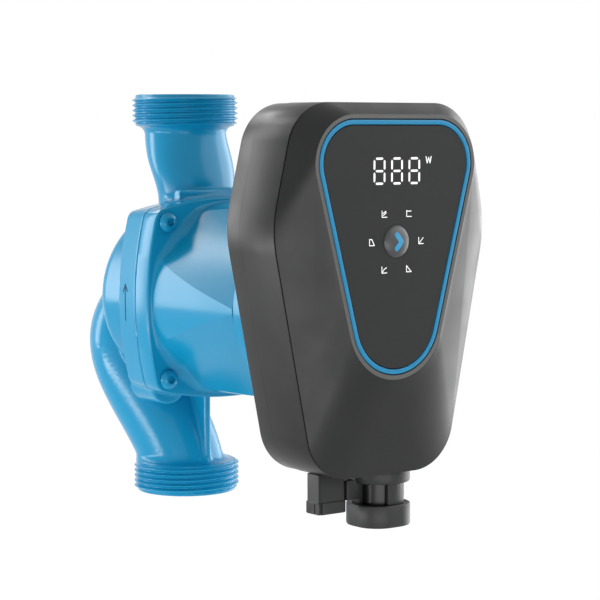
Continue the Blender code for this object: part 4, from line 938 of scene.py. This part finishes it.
def build_marks(panel_front):
    """Seven-segment digits, a unit letter and six mode signs, printed behind the window and shown on it."""
    half, thick, cut = 2.0, 0.45, 0.5
    outline = ((-half, 0), (-half + cut, thick), (half - cut, thick), (half, 0), (half - cut, -thick),
               (-half + cut, -thick))
    segment = solid("segment_shape", [at_depth(outline, 0.05), at_depth(outline, -0.1)], white_print, 40.0)
    places = []
    turns = []
    wide, tall = 2.6, 2.47
    for digit in (-DIGIT_PITCH, 0.0, DIGIT_PITCH):
        for x, z, turn in ((0, 2 * tall, 0), (0, 0, 0), (0, -2 * tall, 0), (-wide, tall, 1), (wide, tall, 1),
                           (-wide, -tall, 1), (wide, -tall, 1)):
            places.append((digit + x, -panel_front, DIGITS_Z + z))
            turns.append(turn * math.pi / 2)
    settle(scatter("digit_segments", segment, places, turns, white_print, 40.0), "panel_gloss")

    def front(x, z):
        return panel_front + 0.04

    corners = ((-1.35, 1.25), (-0.75, -1.25), (0.0, 0.9), (0.75, -1.25), (1.35, 1.25))
    letter = [stroke(ends, 0.45, 4) for ends in zip(corners, corners[1:])]
    settle(lay_strokes("unit_letter", letter, UNIT_AT, front, white_print), "panel_gloss")
    # Each sign is a small graph: two axes and one of these curves, by its place round the button in degrees.
    axes = [((-1.25, 1.25), (-1.25, -1.25)), ((-1.25, -1.25), (1.25, -1.25))]
    curves = {120: [((-0.6, 0.3), (0.6, 1.1)), ((-0.6, -0.5), (0.8, 0.45)), ((0.6, 1.1), (0.8, 0.45))],
              60: [((-1.25, 0.9), (1.1, 0.9))],
              0: [((-1.2, -1.2), (1.1, 1.1))],
              180: [((-1.25, 1.2), (-0.1, 1.2)), ((-0.1, 1.2), (1.2, -1.2))],
              240: [((-1.2, -1.2), (0.0, 0.3)), ((0.0, 0.3), (1.1, 0.8))],
              300: [((-1.25, 1.25), (1.2, -1.2))]}
    strokes = []
    for turn, lines in curves.items():
        angle = math.radians(turn)
        offset = np.array((SIGN_RADIUS * math.cos(angle), SIGN_RADIUS * math.sin(angle)))
        for start, end in axes + lines:
            strokes.append(stroke((offset + np.array(start), offset + np.array(end)), SIGN_STROKE, 4))
    settle(lay_strokes("mode_signs", strokes, (0.0, BUTTON_Z), front, white_print), "panel_gloss")


# Sockets

def lathe_rings(profile, centre, count=96):
    """Rings about an upright axis: profile holds (radius, height) pairs."""
    return [at_height(round_outline(radius, count, centre), height) for radius, height in profile]


def soften(item, width):
    """Round the edges of a piece that is still to be baked."""
    edges = item.modifiers.new("edges", "BEVEL")
    edges.width = width * MM
    edges.segments = 2
    edges.angle_limit = math.radians(40)


def boolean(item, outline, low, high, operation):
    """Upright prism that is added to a piece, or cut out of it, when the piece is baked."""
    tool = solid("tool", [at_height(outline, low), at_height(outline, high)], filled_nylon)
    change = item.modifiers.new(operation, "BOOLEAN")
    change.operation = operation
    change.solver = "EXACT"
    change.object = tool
    tool.hide_render = True
    return tool


def rounded_box(centre, half_x, half_y, corner, count=96):
    """Outline of a rectangle with round corners, sampled by the way it faces."""
    angle = math.tau * (np.arange(count) + 0.5) / count
    facing = np.column_stack((np.cos(angle), np.sin(angle)))
    return np.array(centre) + np.sign(facing) * (half_x - corner, half_y - corner) + facing * corner


def sector(first, last, inner, outer, centre):
    """Outline of a ring's sector between two angles in degrees."""
    angle = np.radians(np.linspace(first, last, 25))
    way = np.column_stack((np.cos(angle), np.sin(angle)))
    return np.concatenate((np.array(centre) + outer * way, np.array(centre) + inner * way[::-1]))


def build_power_socket():
    """Round socket: flange, strap with a locking tab, black barrel in the open side, and the lock collar."""
    flange_low = BOX_BOTTOM - 5.8
    neck_low = BOX_BOTTOM - 16.5
    collar_top = neck_low + 1.8
    mouth = neck_low - 7.6
    strap_inner, strap_outer = 8.9, 10.8
    flange_radius, flange_top = 13.2, BOX_BOTTOM - 0.35
    flange = ((strap_inner, flange_low), (flange_radius - 0.9, flange_low),
              (flange_radius - 0.3, flange_low + 0.25), (flange_radius, flange_low + 0.9),
              (flange_radius, flange_top), (strap_inner, flange_top))
    socket = solid("power_socket_raw", lathe_rings(flange, POWER_AT), filled_nylon, closed=True)
    tools = []
    for first, last, low in ((252, 545, neck_low), (252, 264, mouth + 1.2)):
        outline = sector(first, last, strap_inner, strap_outer, POWER_AT)
        tools.append(boolean(socket, outline, low, flange_low + 1.5, "UNION"))
    lug = rounded_box((POWER_AT[0] - 13.9, POWER_AT[1] + 1.0), 3.9, 2.4, 0.4, 24)
    tools.append(boolean(socket, lug, flange_low - 6.5, flange_low + 1.5, "UNION"))
    soften(socket, 0.3)
    shell = bake(socket, "power_socket_shell", filled_nylon, tools=tools)
    settle(shell, "dark_plastic", "power_socket")
    bore, radius = 6.9, 8.5
    top, floor = flange_low - 0.3, flange_low - 4.3
    barrel = ((bore, floor), (bore, mouth + 0.3), (radius - 0.3, mouth + 0.3), (radius, mouth + 0.6),
              (radius, top), (0.05, top), (0.05, floor))
    insert = solid("power_barrel", lathe_rings(barrel, POWER_AT), barrel_nylon, closed=True)
    settle(insert, "black_plastic", "power_insert")
    wall = 4.2
    collar = ((wall, collar_top - 0.4), (1.6, collar_top - 0.4), (1.3, collar_top), (0.5, collar_top),
              (0.15, collar_top - 0.15), (0.0, collar_top - 0.5), (0.0, mouth + 1.0), (0.3, mouth + 0.3),
              (1.0, mouth), (wall, mouth))
    rings = []
    for inset, height in collar:
        rings.append(at_height(rounded_box(POWER_AT, 12.6 - inset, 12.2 - inset, 10.2 - inset), height))
    ring = solid("power_lock_collar", rings, filled_nylon, closed=True)
    settle(ring, "dark_plastic", "power_lock_ring")


def build_signal_socket():
    """Rectangular socket with a groove down its front corner and a flared, slotted foot."""
    half_x, half_y = SIGNAL_HALF
    top = BOX_BOTTOM - 0.35
    mouth = BOX_BOTTOM - 16.7
    flare, wall = 0.35, 1.5
    outside = ((0.0, top), (0.0, mouth + 5.2), (flare, mouth + 4.7), (flare, mouth + 0.3), (0.1, mouth))
    rings = []
    for grow, height in outside:
        rings.append(at_height(rounded_box(SIGNAL_AT, half_x + grow, half_y + grow, 1.3), height))
    for height in (mouth, top - 4.0):
        rings.append(at_height(rounded_box(SIGNAL_AT, half_x - wall, half_y - wall, 0.6), height))
    socket = solid("signal_socket_raw", rings, filled_nylon)
    tools = []
    for x, y, wide, deep, high in ((-6.1, -5.1, 0.55, 1.2, 20.0), (-7.2, -1.6, 0.7, 0.35, 4.4)):
        groove = rounded_box((SIGNAL_AT[0] + x, SIGNAL_AT[1] + y), wide, deep, 0.3, 24)
        tools.append(boolean(socket, groove, mouth - 1.0, mouth + high, "DIFFERENCE"))
    soften(socket, 0.2)
    shell = bake(socket, "signal_socket_shell", filled_nylon, tools=tools)
    settle(shell, "dark_plastic", "signal_socket")


# Kept solids

def finish_kept_nodes():
    """Give the solids that stay in view their materials."""
    finishes = {black_nylon: "impeller impeller_shroud thrust_ring capacitor board_header digit_display"
                             " tact_switch",
                bright_steel: "rotor_core rotor_sleeve neck_ring bearing_plate rotor_can box_screw",
                ground_ceramic: "shaft front_bearing rear_bearing",
                dark_iron: "rotor_magnet stator_core",
                seal_rubber: "housing_gasket can_seal cover_seal",
                board_lacquer: "main_board display_board",
                enamelled_copper: "choke winding",
                contact_brass: "power_pin signal_pin"}
    by_kind = {kind: material for material, kinds in finishes.items() for kind in kinds.split()}
    for name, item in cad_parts.items():
        material = by_kind.get(name.rstrip("_0123456789"))
        if material:
            item.data.materials.clear()
            item.data.materials.append(material)


# Stage

def seen_rays(tree):
    """1 for the rays that show the backdrop: straight from the camera, in gloss and through clear pieces."""
    rays = add(tree, "ShaderNodeLightPath").outputs
    bent = add(tree, MATHS, {0: rays["Is Glossy Ray"], 1: rays["Is Transmission Ray"]}, operation="MAXIMUM")
    return add(tree, MATHS, {0: rays["Is Camera Ray"], 1: bent}, operation="MAXIMUM")


def build_camera(scene):
    """Camera fitted to the ports and the box, with its place in metres."""
    lens = bpy.data.cameras.new("camera")
    lens.lens = 124.92
    lens.sensor_width = 36.0
    camera = bpy.data.objects.new("camera", lens)
    camera.location = (-0.53656, -0.78213, 0.07482)
    camera.rotation_mode = "QUATERNION"
    camera.rotation_quaternion = Vector((0.60808, 0.78961, -0.08211)).to_track_quat("-Z", "Y")
    scene.collection.objects.link(camera)
    scene.camera = camera


def build_stage():
    """Camera, white backdrop and floor, and soft lamps at a plain level."""
    scene = bpy.context.scene
    scene.view_settings.view_transform = "Standard"
    build_camera(scene)
    world = bpy.data.worlds.new("studio")
    scene.world = world
    world.use_nodes = True
    tree = world.node_tree
    room = tree.nodes["Background"]
    room.inputs["Color"].default_value = (0.3, 0.3, 0.305, 1)
    backdrop = add(tree, "ShaderNodeBackground", {"Color": (1, 1, 1, 1), "Strength": 1.0})
    mix = add(tree, "ShaderNodeMixShader", {0: seen_rays(tree), 1: room, 2: backdrop})
    tree.links.new(mix.outputs[0], tree.nodes["World Output"].inputs["Surface"])
    floor_paint = bpy.data.materials.new("white_floor")
    floor_paint.use_nodes = True
    tree = floor_paint.node_tree
    shader = tree.nodes["Principled BSDF"]
    shader.inputs["Base Color"].default_value = (0.8, 0.8, 0.8, 1)
    shader.inputs["Roughness"].default_value = 0.9
    glow = add(tree, "ShaderNodeEmission", {"Color": (1, 1, 1, 1), "Strength": 1.08})
    share = add(tree, MATHS, {0: seen_rays(tree), 1: 0.92}, operation="MULTIPLY")
    mix = add(tree, "ShaderNodeMixShader", {0: share, 1: shader, 2: glow})
    tree.links.new(mix.outputs[0], tree.nodes["Material Output"].inputs["Surface"])
    corners = [(x * FLOOR_REACH, y * FLOOR_REACH, FLOOR_Z) for x, y in ((-1, -1), (1, -1), (1, 1), (-1, 1))]
    make_object("floor", corners, [(0, 1, 2, 3)], floor_paint)
    # Place and size in metres, then watts.
    lamps = {"left_strip": ((-0.64, 0.87, 0.36), (0.36, 1.05), 8.0),
             "low_left_strip": ((-1.05, 0.24, -0.24), (1.0, 0.1), 5.6),
             "top_left_box": ((-0.315, 0.655, 0.865), (0.14, 0.2), 0.95),
             "top_back_strip": ((0.0, 0.85, 0.77), (0.4, 0.15), 1.7),
             "right_box": ((0.98, -0.09, 0.02), (0.9, 1.0), 10.0),
             "front_right_box": ((0.73, -0.81, 0.56), (1.2, 0.8), 6.0),
             "front_low_box": ((-0.41, -1.12, -0.27), (1.4, 0.45), 6.4)}
    for name, (place, size, power) in lamps.items():
        data = bpy.data.lights.new(name, "AREA")
        data.shape = "RECTANGLE"
        data.size, data.size_y = size
        data.energy = power
        lamp = bpy.data.objects.new(name, data)
        lamp.location = place
        lamp.rotation_mode = "QUATERNION"
        lamp.rotation_quaternion = (Vector((0, -0.05, 0)) - Vector(place)).to_track_quat("-Z", "Y")
        scene.collection.objects.link(lamp)


build_casting()
build_threads()
build_flow_arrow()
build_motor_shell()
build_motor_screws()
build_box()
build_cover_screws()
build_panel()
build_power_socket()
build_signal_socket()
finish_kept_nodes()
build_stage()
